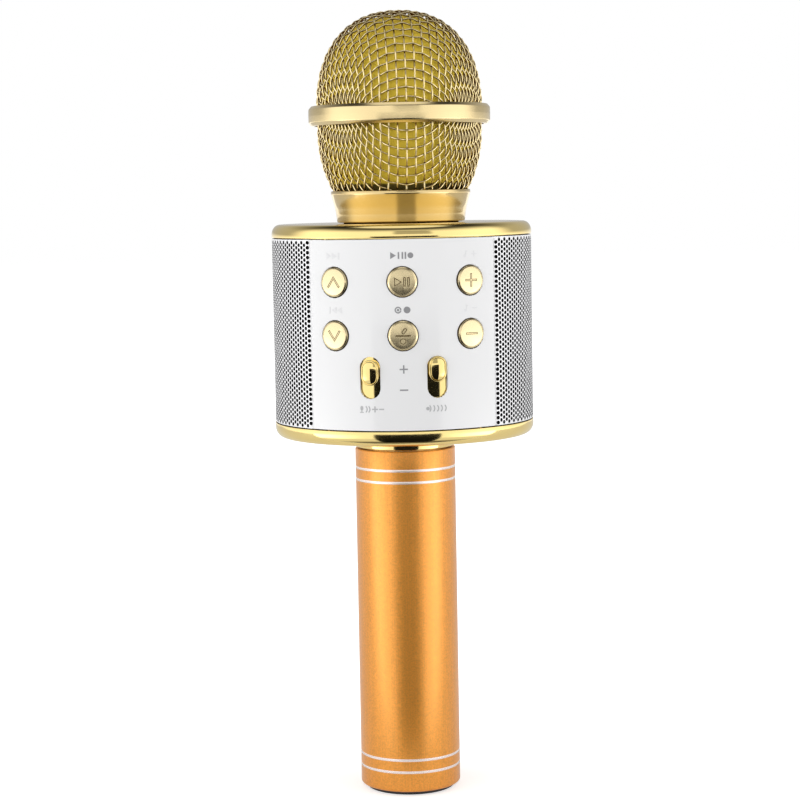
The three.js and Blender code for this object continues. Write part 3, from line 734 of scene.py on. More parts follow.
def neck_thread(pitch=1.5, crest=0.42):
    """A helical ridge up the neck, which fades out at both ends."""
    start = BARREL_TOP + 1.4
    turns = (NECK_TOP - 0.9 - start) / pitch
    steps = int(turns * 96)
    rings = []
    for k in range(steps + 1):
        a = 2 * math.pi * turns * k / steps
        height = start + pitch * a / (2 * math.pi)
        out = crest * min(1, 8 * k / steps, 8 * (1 - k / steps))
        ridge = ((-0.1, 0.55), (out, 0.12), (out, -0.12), (-0.1, -0.55))
        spokes = [(NECK_RADIUS + away, height + up) for away, up in ridge]
        rings.append([(radius * math.cos(a), radius * math.sin(a), z) for radius, z in spokes])
    return lofted("neck_thread", rings, gold)


KEY_COLUMNS = {"up": -30, "down": -30, "play": 0, "record": 0, "plus": 30, "minus": 30}
SLIDE_COLUMNS = {"mic_volume": -14.3, "echo": 14.3}


def middle_height(node):
    return sum(heights_of(node)) / 2


def front_panel():
    half = around(PANEL_ANGLE)
    outline = rounded(rectangle(-half, half, SKIN_BOTTOM, SKIN_TOP), 0.3, steps=3)
    keys = [(around(column), middle_height(f"key_{name}")) for name, column in KEY_COLUMNS.items()]
    holes = [arc(4.35, centre=place, steps=56) for place in keys]
    holes += [stadium(5.7, 11.7, centre=(around(column), SLIDE_HEIGHT)) for column in SLIDE_COLUMNS.values()]
    panel = wrap(plate("front_panel_moulded", [outline, *holes], 0.85, 0.12, white), BARREL_RADIUS)
    stand_for(panel, "handset", "white_plastic", "front_panel")


# ---- Perforated grille and the cloth behind it ----
HOLE_PITCH = 1.38
HOLE_RADIUS = 0.55
FIRST_ROW = 0.75  # the lowest holes' middles, above the sheet's lower edge
LAST_ROW = 0.6  # the least from the highest holes' middles to the sheet's upper edge
SIDE_MARGIN = 0.6
BORDER = 1.1  # a border cell's corners this near the top or bottom edge lie on it
GRILLE_RADIUS = 37.9
GRILLE_THICKNESS = 0.2
GRILLE_TUCK = 0.8  # its ends curve in behind the panel by this much
TUCK_WIDTH = 1.7
PANEL_EDGE = math.radians(PANEL_ANGLE)
COLUMN_PITCH = HOLE_PITCH * math.sqrt(3) / 2
CELL_REACH = HOLE_PITCH / math.sqrt(3)  # from the middle of a cell to its corners
CLOTH_RADIUS = 36.85
CLOTH_STEPS = 220
SPOKES = np.array(arc(1, steps=12))


def hole_centres(left, right):
    """A staggered grid of holes that fills the sheet from left to right."""
    columns = int((right - left - 2 * SIDE_MARGIN) / COLUMN_PITCH)
    first = (left + right - columns * COLUMN_PITCH) / 2
    centres = []
    for i in range(columns + 1):
        z = SKIN_BOTTOM + FIRST_ROW + (HOLE_PITCH / 2 if i % 2 else 0)
        while z < SKIN_TOP - LAST_ROW:
            centres.append((first + i * COLUMN_PITCH, z))
            z += HOLE_PITCH
    return np.array(centres)


def cells_round(centres, left, right):
    """The corners of the six-sided cells round the holes, shared between cells and out to the border."""
    reach = np.tile([CELL_REACH, HOLE_PITCH / 2], 6)
    outer = (centres[:, None] + SPOKES * reach[:, None]).reshape(-1, 2)
    corners, index, uses = np.unique(np.round(outer, 3), axis=0, return_inverse=True, return_counts=True)
    index = index.reshape(-1)
    is_corner = np.zeros(len(corners), bool)
    is_corner[index.reshape(-1, 12)[:, ::2]] = True
    border = uses < np.where(is_corner, 3, 2)
    x, z = corners.T
    first, last = centres[:, 0].min(), centres[:, 0].max()
    half_side = CELL_REACH / 2  # the upper and lower corners are this far to the side of a cell's middle
    inside = (x > first - half_side - 0.05) & (x < last + half_side + 0.05)
    at_left = border & (x < first - half_side + 0.1)
    at_right = border & (x > last + half_side - 0.1)
    at_top = border & inside & (z > SKIN_TOP - BORDER)
    at_bottom = border & inside & (z < SKIN_BOTTOM + BORDER)
    x[at_left] = left
    x[at_right] = right
    z[at_top] = SKIN_TOP
    z[at_bottom] = SKIN_BOTTOM
    return corners, index


def perforated_sheet_mesh(name, left, right):
    """A closed sheet with a hole in the middle of each cell, bent round the barrel."""
    centres = hole_centres(left, right)
    corners, index = cells_round(centres, left, right)
    rims = (centres[:, None] + SPOKES * HOLE_RADIUS).reshape(-1, 2)
    flat = np.concatenate([corners, rims])
    a = flat[:, 0] / GRILLE_RADIUS
    to_panel = GRILLE_RADIUS * np.minimum(a - PANEL_EDGE, 2 * math.pi - PANEL_EDGE - a)
    outside = GRILLE_RADIUS - GRILLE_TUCK * np.clip(1 - to_panel / TUCK_WIDTH, 0, 1) ** 2
    sides = [
        np.stack([radius * np.sin(a), -radius * np.cos(a), flat[:, 1]], 1)
        for radius in (outside, outside - GRILLE_THICKNESS)
    ]
    back = len(flat)
    this = np.arange(len(rims)).reshape(-1, 12)
    following = np.roll(this, -1, 1)
    edge = np.stack([index[this], index[following]], -1).reshape(-1, 2)
    rim = len(corners) + np.stack([this, following], -1).reshape(-1, 2)
    front_faces = np.concatenate([edge, rim[:, ::-1]], 1)
    hole_walls = np.concatenate([rim, rim[:, ::-1] + back], 1)
    _, first_use, uses = np.unique(np.sort(edge, 1), axis=0, return_index=True, return_counts=True)
    outline = edge[first_use[uses == 1]]
    outline_walls = np.concatenate([outline[:, ::-1], outline + back], 1)
    faces = np.concatenate([front_faces, front_faces[:, ::-1] + back, hole_walls, outline_walls])
    sheet = mesh_object(name, np.concatenate(sides), faces.tolist(), silver, sharp=50)
    sheet.data.materials.append(black)
    # painted shade: the walls of the holes take the black material, so that the holes look dark
    hole_wall_shade = np.zeros(len(faces), np.int32)
    hole_wall_shade[2 * len(front_faces):][:len(hole_walls)] = 1
    sheet.data.polygons.foreach_set("material_index", hole_wall_shade)
    return sheet


def speaker_grille():
    """Three sheets, which meet at two seams behind."""
    start = math.radians(GRILLE_ANGLE) * GRILLE_RADIUS
    width = (2 * math.pi * GRILLE_RADIUS - 2 * start) / 3
    for i, place in enumerate(("right", "back", "left")):
        sheet = perforated_sheet_mesh(f"speaker_grille_{place}", start + i * width, start + (i + 1) * width)
        stand_for(sheet, "handset", "perforated_metal", "speaker_grille")


def grille_cloth():
    half = math.radians(180 - GRILLE_ANGLE)
    vertices = []
    for k in range(CLOTH_STEPS + 1):
        a = math.pi + (2 * k / CLOTH_STEPS - 1) * half
        x, y = CLOTH_RADIUS * math.sin(a), -CLOTH_RADIUS * math.cos(a)
        vertices += [(x, y, SKIN_BOTTOM), (x, y, SKIN_TOP)]
    faces = [(k, k + 2, k + 3, k + 1) for k in range(0, 2 * CLOTH_STEPS, 2)]
    sheet = mesh_object("grille_cloth_sheet", vertices, faces, cloth)
    stand_for(sheet, "handset", "cloth", "grille_cloth")


# ---- Keys ----
KEY_RADIUS = 4.1
KEY_FACE = BARREL_RADIUS + 0.5
SYMBOL_LINE = 0.2
SYMBOL_DEPTH = 0.18
CROSS_ARM, CROSS_HALF = 1.9, 0.3


def inset(outline, distance):
    """The outline moved inwards by the same distance all round. It runs anticlockwise."""
    moved = []
    for i, corner in enumerate(outline):
        here = Vector(corner)
        before = (here - Vector(outline[i - 1])).normalized()
        after = (Vector(outline[(i + 1) % len(outline)]) - here).normalized()
        inward = Vector((-before.y - after.y, before.x + after.x)).normalized()
        share = inward.dot(Vector((-before.y, before.x)))
        moved.append(tuple(here + inward * (distance / share)))
    return moved


def line_round(outline):
    """A thin wall that follows an outline, to cut its line into a key's face."""
    bottom, top = KEY_FACE - SYMBOL_DEPTH, KEY_FACE + 1
    loops = [outline, inset(outline, SYMBOL_LINE)]
    vertices = [(x, y, z) for z in (bottom, top) for loop in loops for x, y in loop]
    count = len(outline)
    faces = []
    for here, following in ((0, 2), (2, 3), (3, 1), (1, 0)):
        faces += quads(here * count, following * count, count)
    # the cut line takes this material: painted shade in the groove
    return mesh_object("symbol", vertices, faces, key_shade)


def chevron(way):
    points = [(-1.55, -1.6), (0, 0.75), (1.55, -1.6), (2.05, -1.25), (0, 1.75), (-2.05, -1.25)]
    return points if way > 0 else [(-x, -y) for x, y in points]


def leaning(outline, degrees, centre):
    a = math.radians(degrees)
    cos, sin = math.cos(a), math.sin(a)
    return [(centre[0] + x * cos - y * sin, centre[1] + x * sin + y * cos) for x, y in outline]


KEY_SYMBOLS = {
    "up": [chevron(1)],
    "down": [chevron(-1)],
    "play": [
        [(-2.2, -1.3), (-0.1, 0), (-2.2, 1.3)],
        rectangle(0.3, 0.95, -1.3, 1.3),
        rectangle(1.4, 2.05, -1.3, 1.3),
    ],
    "record": [
        leaning(stadium(0.95, 1.9, steps=8), -40, (0.35, 1.25)),
        rectangle(-2.1, 2.1, -0.3, 0.15),
        arc(0.85, steps=24, centre=(0, -1.6)),
    ],
    "plus": [cross(CROSS_ARM, CROSS_HALF)],
    "minus": [rectangle(-CROSS_ARM, CROSS_ARM, -CROSS_HALF, CROSS_HALF)],
}


def key(name):
    foot, flange_low, flange_high = 31.7, 34.9, 35.8
    stem, flange, rim = 1.5, 4.9, KEY_RADIUS - 0.42
    dish = KEY_FACE - 0.06
    outline = [(0, foot), (stem, foot, 0.3), (stem, flange_low), (flange, flange_low, 0.2)]
    outline += [(flange, flange_high, 0.2), (KEY_RADIUS, flange_high), (KEY_RADIUS, KEY_FACE - 0.35, 0.15)]
    outline += [(rim, KEY_FACE, 0.12), (rim - 0.12, KEY_FACE - 0.08), (rim - 0.24, dish), (0, dish)]
    cap = turned(f"key_{name}_cap", fillet(outline, closed=False), key_gold, sides=96, closed=False)
    cap.data.materials.append(key_shade)
    # painted shade on the key's side wall, flange and stem, below its face
    for face in cap.data.polygons:
        face.material_index = int(face.center.z < (KEY_FACE - 0.36) * MM)
    cut(cap, *[line_round(shape) for shape in KEY_SYMBOLS[name]])
    cap.data.transform(outward(KEY_COLUMNS[name], middle_height(f"key_{name}")))
    stand_for(cap, f"{name}_key", "key_gold", f"key_{name}")


# ---- Slides ----
CARRIAGE_RADIUS = 37.1
NUB_BOTTOM = 36.6
NUB_TOP = BARREL_RADIUS + 1


def slide_knob(name, column):
    """A raised oval nub on a curved carriage that fills the slot behind it."""
    low, high = heights_of(f"{name}_knob")
    middle = (low + high) / 2
    shape = rounded(centred(around(column), middle, 2 * around(5), high - low), 1)
    carriage = wrap(plate(f"{name}_carriage", [shape], 0.8, 0.1, slide_gold), CARRIAGE_RADIUS)
    nub = nub_mesh(f"{name}_nub")
    lever = prism(f"{name}_lever", centred(0, 0, 1.6, 3), 32, NUB_BOTTOM, slide_gold)
    for part in (nub, lever):
        part.data.transform(outward(column, middle))
    stand_for(join(carriage, nub, lever), f"{name}_slide", "gold_plated", f"{name}_knob")


def nub_mesh(name, width=4.9, height=7.2, rim=0.3, groove=0.1, inner=0.5, steps=8):
    """An oval boss with a rounded rim, and a domed middle inside a fine groove."""
    rim_top = NUB_TOP - rim
    dome_low = rim_top - 0.05
    levels = [(0, NUB_BOTTOM), (0, rim_top - rim)]
    levels += [(rim * x, rim_top - rim * y) for x, y in quarter_round(steps)[1:]]
    levels += [(0.36, rim_top), (0.42, rim_top - groove), (0.46, rim_top - groove)]
    reach = width / 2 - 0.1 - inner
    for k in range(steps + 1):
        share = k / steps
        levels.append((inner + reach * share, dome_low + (NUB_TOP - dome_low) * (1 - (1 - share) ** 2)))
    rings = [[(x, y, z) for x, y in stadium(width - 2 * away, height - 2 * away)] for away, z in levels]
    return lofted(name, rings, slide_gold, sharp=50)


# ---- Printed marks on the panel: small pictograms, about 1.9 mm tall ----
def play(x, way=1):
    return [(x - way * 0.8, -0.95 * way), (x + way * 0.8, 0), (x - way * 0.8, 0.95 * way)]


def bar(x):
    return centred(x, 0, 0.42, 1.9)


def dot(x, radius=0.95):
    return arc(radius, steps=28, centre=(x, 0))


def bow(x, radius=0.95, line=0.36, start=0, end=350):
    """A stroke along an arc."""
    return arc(radius, start, end, 28, (x, 0)) + arc(radius - line, end, start, 28, (x, 0))


def wave(x):
    return bow(x, 1.3, 0.32, -48, 48)


def minus(x, size=1.7, line=0.36):
    return centred(x, 0, size, line)


def plus(x, size=1.7, line=0.36):
    return cross(size / 2, line / 2, (x, 0))


NOTE = [arc(0.45, 0, 360, 20, (-1.7, -0.55)), centred(-1.32, 0.2, 0.26, 1.5), centred(-1.02, 0.78, 0.5, 0.28)]
MIC = [stadium(0.85, 1.25, (-2.6, 0.32), 8), centred(-2.6, -0.53, 0.26, 0.5), centred(-2.6, -0.85, 1.1, 0.22)]
UPPER_ROW, LOWER_ROW, SLIDE_ROW = 159.1, 144.0, 116.4
MARKS = {
    "mark_play": (0, UPPER_ROW, grey_ink, [play(-2.4), bar(-0.9), bar(0.18), bar(1.02), dot(2.4, 0.8)]),
    "mark_record": (0, LOWER_ROW, grey_ink, [bow(-1.3), dot(-1.3, 0.35), dot(1.2)]),
    "mark_up": (-30, UPPER_ROW, faint_ink, [play(-1.6), play(0.2), bar(1.6)]),
    "mark_down": (-30, LOWER_ROW, faint_ink, [bar(-1.6), play(-0.2, -1), play(1.6, -1)]),
    "mark_plus": (30, UPPER_ROW, faint_ink, [*NOTE, plus(1.3)]),
    "mark_minus": (30, LOWER_ROW, faint_ink, [*NOTE, minus(1.3)]),
    "mark_more": (0, 127.5, grey_ink, [plus(0, 2.3, 0.4)]),
    "mark_less": (0, 121.7, grey_ink, [minus(0, 2.3, 0.4)]),
    "mark_mic": (-14.3, SLIDE_ROW, pale_ink, [*MIC, wave(-2.2), wave(-1.4), plus(1.2), minus(3.1, 1.4)]),
    "mark_echo": (14.3, SLIDE_ROW, pale_ink, [dot(-2.9, 0.5), *[wave(1.1 * k - 3.2) for k in range(5)]]),
}
INK_THICKNESS = 0.05
INK_RADIUS = BARREL_RADIUS + 0.03


def printed_marks():
    for name, (column, height, material, shapes) in MARKS.items():
        parts = []
        for shape in shapes:
            outline = [(x + around(column), y + height) for x, y in shape]
            parts.append(wrap(plate(name, [outline], INK_THICKNESS, 0.005, material), INK_RADIUS, step=0.4))
        mark = join(*parts)
        mark.name = name
        stand_for(mark, "handset", "white_plastic")


# ---- Head ----
SEAT = NECK_TOP + 1.1  # the web inside the collar, above the neck


def collar():
    """A flared ring with a web inside it, which the basket's lower edge stands on."""
    bore, socket = 14.2, 17.4
    outline = [(bore, SEAT), (bore, NECK_TOP + GAP), (socket, NECK_TOP + GAP), (socket, COLLAR_BOTTOM, 0.2)]
    outline += [(18.7, COLLAR_BOTTOM, 0.5), (18.95, COLLAR_BOTTOM + 2.4, 8), (19.3, COLLAR_BOTTOM + 4.4, 12)]
    outline += [(20.4, COLLAR_TOP - 0.9, 1.2), (20.35, COLLAR_TOP, 0.3)]
    outline += [(19.9, COLLAR_TOP, 0.2), (19.6, SEAT, 0.3)]
    ring = turned("head_collar_turned", fillet(outline, steps=8), satin_gold, sides=160)
    stand_for(ring, "head", "gold_metal", "head_collar")


def band():
    """A nearly straight face between two wide bevels."""
    widest = radius_of("band_ring")
    inside = radius_of("grille_dome") + 0.4
    edge, shoulder = widest - 0.8, widest - 0.04
    outline = [(inside, BAND_BOTTOM), (edge, BAND_BOTTOM, 0.2), (shoulder, BAND_BOTTOM + 0.9, 0.7)]
    outline += [(widest, (BAND_BOTTOM + BAND_TOP) / 2, 2)]
    outline += [(shoulder, BAND_TOP - 0.9, 0.7), (edge, BAND_TOP, 0.2), (inside, BAND_TOP)]
    ring = turned("band_ring_turned", fillet(outline, steps=8), pale_gold, sides=160)
    stand_for(ring, "head", "gold_metal", "band_ring")


DOME_BASE = 200.2  # widest level of the upper dome
DOME_EXPONENT = 2.3  # 2 would make it an ellipse
BASKET_BASE = 194  # widest level of the lower basket
BASKET_DEPTH = 30  # from there to where its curve would close
WIRE_RADIUS = 0.26
CRIMP = 0.26  # how far a wire swings in and out as it crosses the others
MESH_PITCH = 2.6
WEAVE_TURN = math.radians(5)  # the weave's own direction, from the front towards +X
WIRE_SIDES = 6
CROSSING_STEPS = 6
NET_SIZE = 40  # the most crossings from the pole to the edge


class Cap:
    """A super-ellipsoid from its pole to its widest level, and a cylinder from there on."""

    def __init__(self, radius, base, reach, exponent):
        self.radius = radius
        self.base = base
        self.reach = reach  # from the widest level to the pole, negative if the pole is below
        self.exponent = exponent

    def level(self, p):
        """Zero on the surface, and the gradient there."""
        n = self.exponent
        across = max(math.hypot(p[0], p[1]), 1e-9)
        up = max(0, (p[2] - self.base) / self.reach)
        slope = n * (across / self.radius) ** (n - 1) / self.radius / across
        gradient = np.array([slope * p[0], slope * p[1], n * up ** (n - 1) / self.reach])
        return (across / self.radius) ** n - 1 + up**n, gradient

    def normal(self, p):
        gradient = self.level(p)[1]
        return gradient / np.linalg.norm(gradient)

    def pole(self):
        return np.array([0.0, 0.0, self.base + self.reach])


def pitch_from(a):
    """Zero at one pitch from the point a, and the gradient."""
    return lambda p: ((p - a) @ (p - a) - MESH_PITCH**2, 2 * (p - a))


def meeting(surface, first, second, guess):
    """The point on the surface, near the guess, where both conditions are zero too, or None."""
    p = guess
    for _ in range(30):
        values, gradients = zip(first(p), second(p), surface.level(p))
        try:
            move = np.linalg.solve(np.array(gradients), np.array(values))
        except np.linalg.LinAlgError:
            return None
        length = np.linalg.norm(move)
        p = p - move * min(1, 1.5 / max(length, 1e-9))
        if length < 1e-7:
            return p
    return None


def along_meridian(surface, start, direction):
    """The point on the surface one pitch further from the pole than start, in that direction."""
    side = np.array([-math.sin(direction), math.cos(direction), 0.0])
    along = np.cross(side, surface.normal(start)) * math.copysign(MESH_PITCH, surface.reach)
    return meeting(surface, pitch_from(start), lambda p: (p @ side, side), start + along)


def quarter_net(surface, limit):
    """One quarter of a square net that drapes the cap: every side of every mesh is one pitch long."""
    net = {(0, 0): surface.pole()}
    way = math.copysign(1, surface.reach)

    def past(p):
        return (p[2] - limit) * way < 0

    for direction, (di, dj) in ((0, (1, 0)), (math.pi / 2, (0, 1))):
        p = net[(0, 0)]
        for k in range(1, NET_SIZE):
            p = along_meridian(surface, p, direction)
            net[(di * k, dj * k)] = p
            if past(p):
                break
    for i in range(1, NET_SIZE):
        for j in range(1, NET_SIZE):
            a, b, c = (net.get(corner) for corner in ((i - 1, j), (i, j - 1), (i - 1, j - 1)))
            if a is None or b is None or c is None or (past(a) and past(b)):
                continue
            p = meeting(surface, pitch_from(a), pitch_from(b), a + b - c)
            if p is not None and np.linalg.norm(p - c) > 0.3:
                net[(i, j)] = p
    return net


def whole_net(surface, limit):
    quarter = quarter_net(surface, limit)
    net = {}
    for turn, (cos, sin) in enumerate(((1, 0), (0, 1), (-1, 0), (0, -1))):
        rotation = np.array(Matrix.Rotation(turn * math.pi / 2 + WEAVE_TURN, 3, "Z"))
        for (i, j), p in quarter.items():
            net[(cos * i - sin * j, sin * i + cos * j)] = rotation @ p
    return net


def wires_of(net):
    """The runs of neighbouring crossings along each of the net's two directions."""
    runs = []
    for direction, (di, dj) in enumerate(((1, 0), (0, 1))):
        for i, j in sorted(net):
            if (i - di, j - dj) in net:
                continue
            run = []
            while (i, j) in net:
                run.append((i, j))
                i, j = i + di, j + dj
            if len(run) > 1:
                runs.append((direction, run))
    return runs


def smooth_through(points, steps):
    """A Catmull-Rom curve through the points."""
    padded = np.concatenate([[2 * points[0] - points[1]], points, [2 * points[-1] - points[-2]]])
    p0, p1, p2, p3 = padded[:-3, None], padded[1:-2, None], padded[2:-1, None], padded[3:, None]
    t = (np.arange(steps) / steps)[None, :, None]
    curve = p1 + 0.5 * t * (p2 - p0 + t * (2 * p0 - 5 * p1 + 4 * p2 - p3 + t * (3 * (p1 - p2) + p3 - p0)))
    return np.concatenate([curve.reshape(-1, 3), points[-1:]])


def swept(path, normals):
    """A round wire along a path, as vertices and faces, with closed ends."""
    tangent = np.gradient(path, axis=0)
    tangent /= np.linalg.norm(tangent, axis=1, keepdims=True)
    side = np.cross(tangent, normals)
    side /= np.linalg.norm(side, axis=1, keepdims=True)
    up = np.cross(side, tangent)
    x, y = WIRE_RADIUS * np.array(arc(1, steps=WIRE_SIDES)).T[:, None, :, None]
    rings = path[:, None] + x * side[:, None] + y * up[:, None]
    this = np.arange(len(path) * WIRE_SIDES).reshape(-1, WIRE_SIDES)
    following = np.roll(this, -1, 1)
    faces = np.stack([this[:-1], this[1:], following[1:], following[:-1]], -1).reshape(-1, 4).tolist()
    faces += [tuple(this[0]), tuple(this[-1][::-1])]
    return rings.reshape(-1, 3), faces


def woven(name, surface, low, high):
    """A crimped wire weave over the cap, cut off at the low and high levels."""
    net = whole_net(surface, low if surface.reach > 0 else high)
    vertices = []
    faces = []
    for direction, run in wires_of(net):
        path = smooth_through(np.array([net[c] for c in run]), CROSSING_STEPS)
        normals = np.array([surface.normal(p) for p in path])
        phase = np.arange(len(path)) / CROSSING_STEPS + run[0][0] + run[0][1] + direction
        path = path + normals * (CRIMP * np.cos(np.pi * phase))[:, None]
        kept = (path[:, 2] > low) & (path[:, 2] < high)
        edges = np.flatnonzero(np.diff(np.concatenate([[0], kept.astype(int), [0]])))
        for start, end in zip(edges[::2], edges[1::2]):
            if end - start < 3:
                continue
            found, quads_found = swept(path[start:end], normals[start:end])
            faces += [tuple(len(vertices) + i for i in face) for face in quads_found]
            vertices += found.tolist()
    return mesh_object(name, vertices, faces, wire, sharp=80)


def head_grille():
    swing = WIRE_RADIUS + CRIMP
    dome = Cap(radius_of("grille_dome") - swing, DOME_BASE, HEAD_TOP - swing - DOME_BASE, DOME_EXPONENT)
    basket = Cap(radius_of("grille_basket") - swing, BASKET_BASE, swing - BASKET_DEPTH, 2)
    upper = woven("dome_weave", dome, BAND_TOP - 2.4, HEAD_TOP + 1)
    lower = woven("basket_weave", basket, SEAT + 0.6, BAND_BOTTOM + 2.2)
    stand_for(upper, "head", "grille_wire", "grille_dome")
    stand_for(lower, "head", "grille_wire", "grille_basket")


FOAM_INSET = 1.5
FOAM_WALL = 4.5
FOAM_DROP = 40  # degrees round the basket's curve that it reaches down to


def foam_curve(away):
    """The head's outline moved in, from the bottom of the basket to the top of the dome."""
    low_radius = radius_of("grille_basket") - away
    depth = BASKET_DEPTH - away
    points = []
    for k in range(12, 0, -1):
        a = math.radians(FOAM_DROP * k / 12)
        points.append((low_radius * math.cos(a), BASKET_BASE - depth * math.sin(a)))
    radius = radius_of("grille_dome") - away
    height = HEAD_TOP - away - DOME_BASE
    power = 2 / DOME_EXPONENT
    for k in range(24):
        a = math.pi / 2 * k / 24
        points.append((radius * math.cos(a) ** power, DOME_BASE + height * math.sin(a) ** power))
    return [*points, (0, DOME_BASE + height)]


def foam_liner():
    """A cup of foam, upside down, that lines the head down to the collar."""
    profile = foam_curve(FOAM_INSET + FOAM_WALL)[::-1] + foam_curve(FOAM_INSET)
    liner = turned("foam_liner_moulded", profile, yellow_foam, sides=120, closed=False)
    roughen(liner, 0.12)
    stand_for(liner, "foam", "foam", "foam_liner")


def roughen(obj, amount):
    """Moves each vertex a little along its normal, for foam that isn't cut perfectly true."""
    mesh = obj.data
    mesh.update()
    moves = [v.normal * random.uniform(-amount, 0) * MM for v in mesh.vertices]
    for v, move in zip(mesh.vertices, moves):
        v.co += move


# ---- Camera, floor and light ----
CAMERA_PLACE = (0, -0.660, 0.1768)
CAMERA_TURN = (0.11, 5.31, -1.03)  # yaw, tilt down and roll, in degrees


def camera():
    """A long lens 0.66 m in front of the microphone and level with its collar, looking down a little."""
    data = bpy.data.cameras.new("camera")
    data.lens = 101.1
    data.sensor_width = 36
    data.clip_start = 0.01
    yaw, down, roll = (math.radians(a) for a in CAMERA_TURN)
    obj = placed("camera", data)
    stand = Matrix.Translation(CAMERA_PLACE)
    for angle, axis in ((yaw, "Z"), (math.pi / 2 - down, "X"), (roll, "Z")):
        stand = stand @ Matrix.Rotation(angle, 4, axis)
    obj.matrix_world = stand
    bpy.context.scene.camera = obj


SOFTBOX_SIZE = (0.8, 1.0)
SOFTBOX_DISTANCE = 0.75
SOFTBOX_HEIGHT = 0.25
SOFTBOX_AIM = Vector((0, 0, 0.13))


def softbox(name, azimuth, radiance):
    """A tall soft light that faces the microphone. Azimuth 0 is straight in front, and 90 is to the right."""
    width, height = SOFTBOX_SIZE
    data = bpy.data.lights.new(name, "AREA")
    data.shape = "RECTANGLE"
    data.size, data.size_y = SOFTBOX_SIZE
    data.energy = radiance * math.pi * width * height
    obj = placed(name, data)
    a = math.radians(azimuth)
    place = Vector((SOFTBOX_DISTANCE * math.sin(a), -SOFTBOX_DISTANCE * math.cos(a), SOFTBOX_HEIGHT))
    obj.location = place
    obj.rotation_euler = (SOFTBOX_AIM - place).to_track_quat("-Z", "Y").to_euler()
    obj.visible_glossy = False


# The light tent, by direction. Angles are in degrees, and azimuth 0 is straight in front.
TENT_FRONT = 1.2  # radiance
TENT_SIDE = (2.7, 1.4)  # below the horizon and above it
TENT_BACK = (1.6, 0.5)
TENT_FLOOR = 0.85
TENT_OVERHEAD = 1.0
TENT_TOP = 0.05
TENT_BOTTOM = 0.15
TENT_TURN = 0.5  # the bright sides lie this far round to the left
OPENING = (-27, 32)  # the dark opening that the camera looks through
OPENING_HEIGHTS = (-60, -3.3)
OPENING_LIGHT = 0.01  # the share of the tent's light that is left there
CAMERA_WIDTH = (-7, 27)  # the camera and whoever stands behind it
CAMERA_HEIGHTS = (6, 36)
CAMERA_LIGHT = 0.4


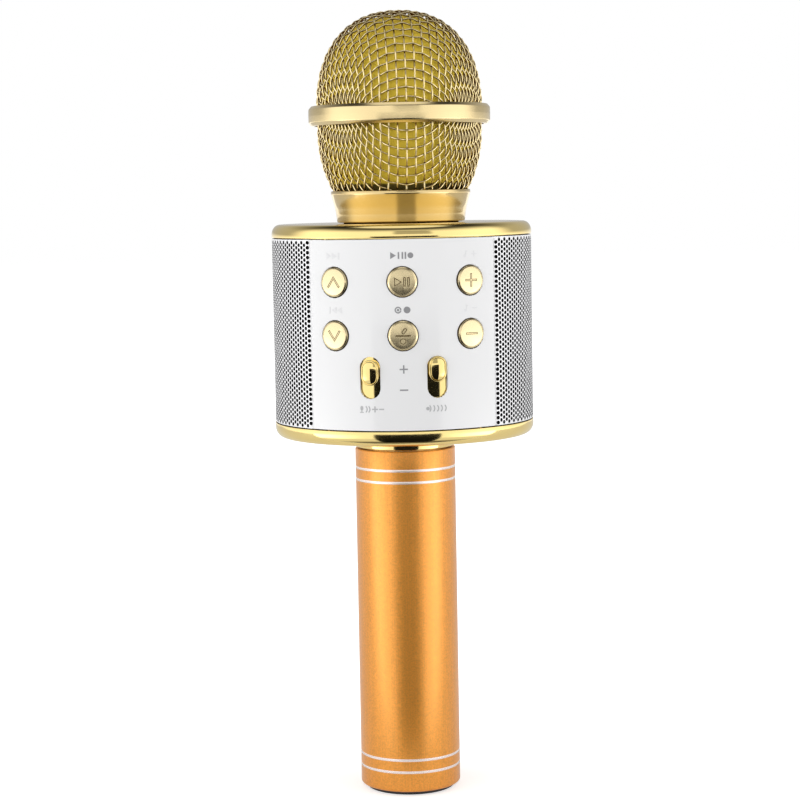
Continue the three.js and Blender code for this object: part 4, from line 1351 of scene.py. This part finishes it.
def light_tent():
    """White to the camera. In reflections, a tent with bright sides, a dark top and a dark opening."""
    world = bpy.data.worlds.new("studio")
    world.use_nodes = True
    w = Nodes(world.node_tree)

    def times(first, second):
        return w.maths("MULTIPLY", first, second)

    direction = w.node("SeparateXYZ", {0: w.node("TexCoord", {})["Generated"]})
    azimuth = w.maths("DEGREES", w.maths("ARCTAN2", direction[0], times(direction[1], -1.0)))
    elevation = w.maths("DEGREES", w.maths("ARCSINE", direction[2]))
    from_front = w.maths("ABSOLUTE", w.maths("ADD", azimuth, TENT_TURN))
    sides = w.ramp(from_front, 32, 78, TENT_FRONT, w.ramp(elevation, -7, -4.5, *TENT_SIDE))
    walls = w.ramp(from_front, 88, 120, sides, w.ramp(elevation, -8, 4, *TENT_BACK))
    walls = w.ramp(elevation, -16, -28, walls, TENT_FLOOR)
    top = w.ramp(elevation, 22, 60, 1.0, TENT_TOP)
    bottom = w.ramp(elevation, -38, -60, 1.0, TENT_BOTTOM)
    overhead = w.ramp(elevation, 64, 74, 0, TENT_OVERHEAD)
    tent = w.maths("MAXIMUM", times(walls, times(top, bottom)), overhead)

    def dimmed(width, heights, soft, light):
        """1 outside a patch of that width and those heights, with soft edges, and light inside it."""
        inside = 1.0
        for value, (low, high), edge in ((azimuth, width, soft[0]), (elevation, heights, soft[1])):
            inside = times(inside, w.ramp(value, low - edge, low + edge))
            inside = times(inside, w.ramp(value, high + edge, high - edge))
        return w.ramp(inside, 0, 1, 1.0, light)

    opening = dimmed(OPENING, OPENING_HEIGHTS, (1, 0.5), OPENING_LIGHT)
    camera_side = dimmed(CAMERA_WIDTH, CAMERA_HEIGHTS, (4, 3), CAMERA_LIGHT)
    room = times(tent, times(opening, camera_side))
    seen = w.node("LightPath", {})["Is Camera Ray"]
    background = w.tree.nodes["Background"]
    w.feed(background.inputs["Color"], (1, 1, 1, 1))
    w.feed(background.inputs["Strength"], w.maths("MAXIMUM", room, seen))
    bpy.context.scene.world = world


FLOOR_HEIGHT = -0.2
FLOOR_CORNERS = [(x, y, FLOOR_HEIGHT) for x, y in rectangle(-1000, 1000, -60, 1200)]
# painted reflection: glow that the floor shows only in reflections
FLOOR_REFLECTION = 0.22
CONTACT = (15, 90, 0.6, 1.0)  # from 15 to 90 mm away, the floor's own light rises from 0.6 to 1: the weaker glow near the microphone is painted shade round its base, over the real contact shadow


def floor():
    """A pale floor that glows bright enough to run into the white behind it. Its glow is weaker near the
    microphone, a painted shade round the base, and a weaker glow shows only in reflections, a painted
    reflection. It doesn't show from below.
    """
    s = Shader("pale_floor")
    away = s.vector("LENGTH", s.place)["Value"]
    ray = s.node("LightPath", {})
    to_camera = s.maths("MULTIPLY", ray["Is Camera Ray"], s.ramp(away, *CONTACT))
    reflected = s.maths("MULTIPLY", ray["Is Glossy Ray"], FLOOR_REFLECTION)
    s.set(Base_Color=s.blend(s.noise(0.02), (0.86, 0.86, 0.86), (0.9, 0.9, 0.9)), Roughness=0.7)
    s.set(Emission_Color=(1, 1, 1, 1), Emission_Strength=s.maths("ADD", to_camera, reflected))
    s.set(Alpha=s.maths("SUBTRACT", 1.0, s.node("NewGeometry", {})["Backfacing"]))
    mesh_object("floor", FLOOR_CORNERS, [(0, 1, 2, 3)], s.material)


def studio():
    softbox("left_softbox", -60, 0.7)
    softbox("right_softbox", 60, 0.47)
    light_tent()
    floor()
    bpy.context.scene.view_settings.view_transform = "Standard"


# ---- Assembly ----
finish_frame()
camera()
handle_tube()
neck_ring()
end_plug()
power_slider()
bottom_cap()
cap_screws()
top_cap()
front_panel()
speaker_grille()
grille_cloth()
for key_name in KEY_COLUMNS:
    key(key_name)
for slide_name, slide_column in SLIDE_COLUMNS.items():
    slide_knob(slide_name, slide_column)
printed_marks()
collar()
band()
head_grille()
foam_liner()
studio()
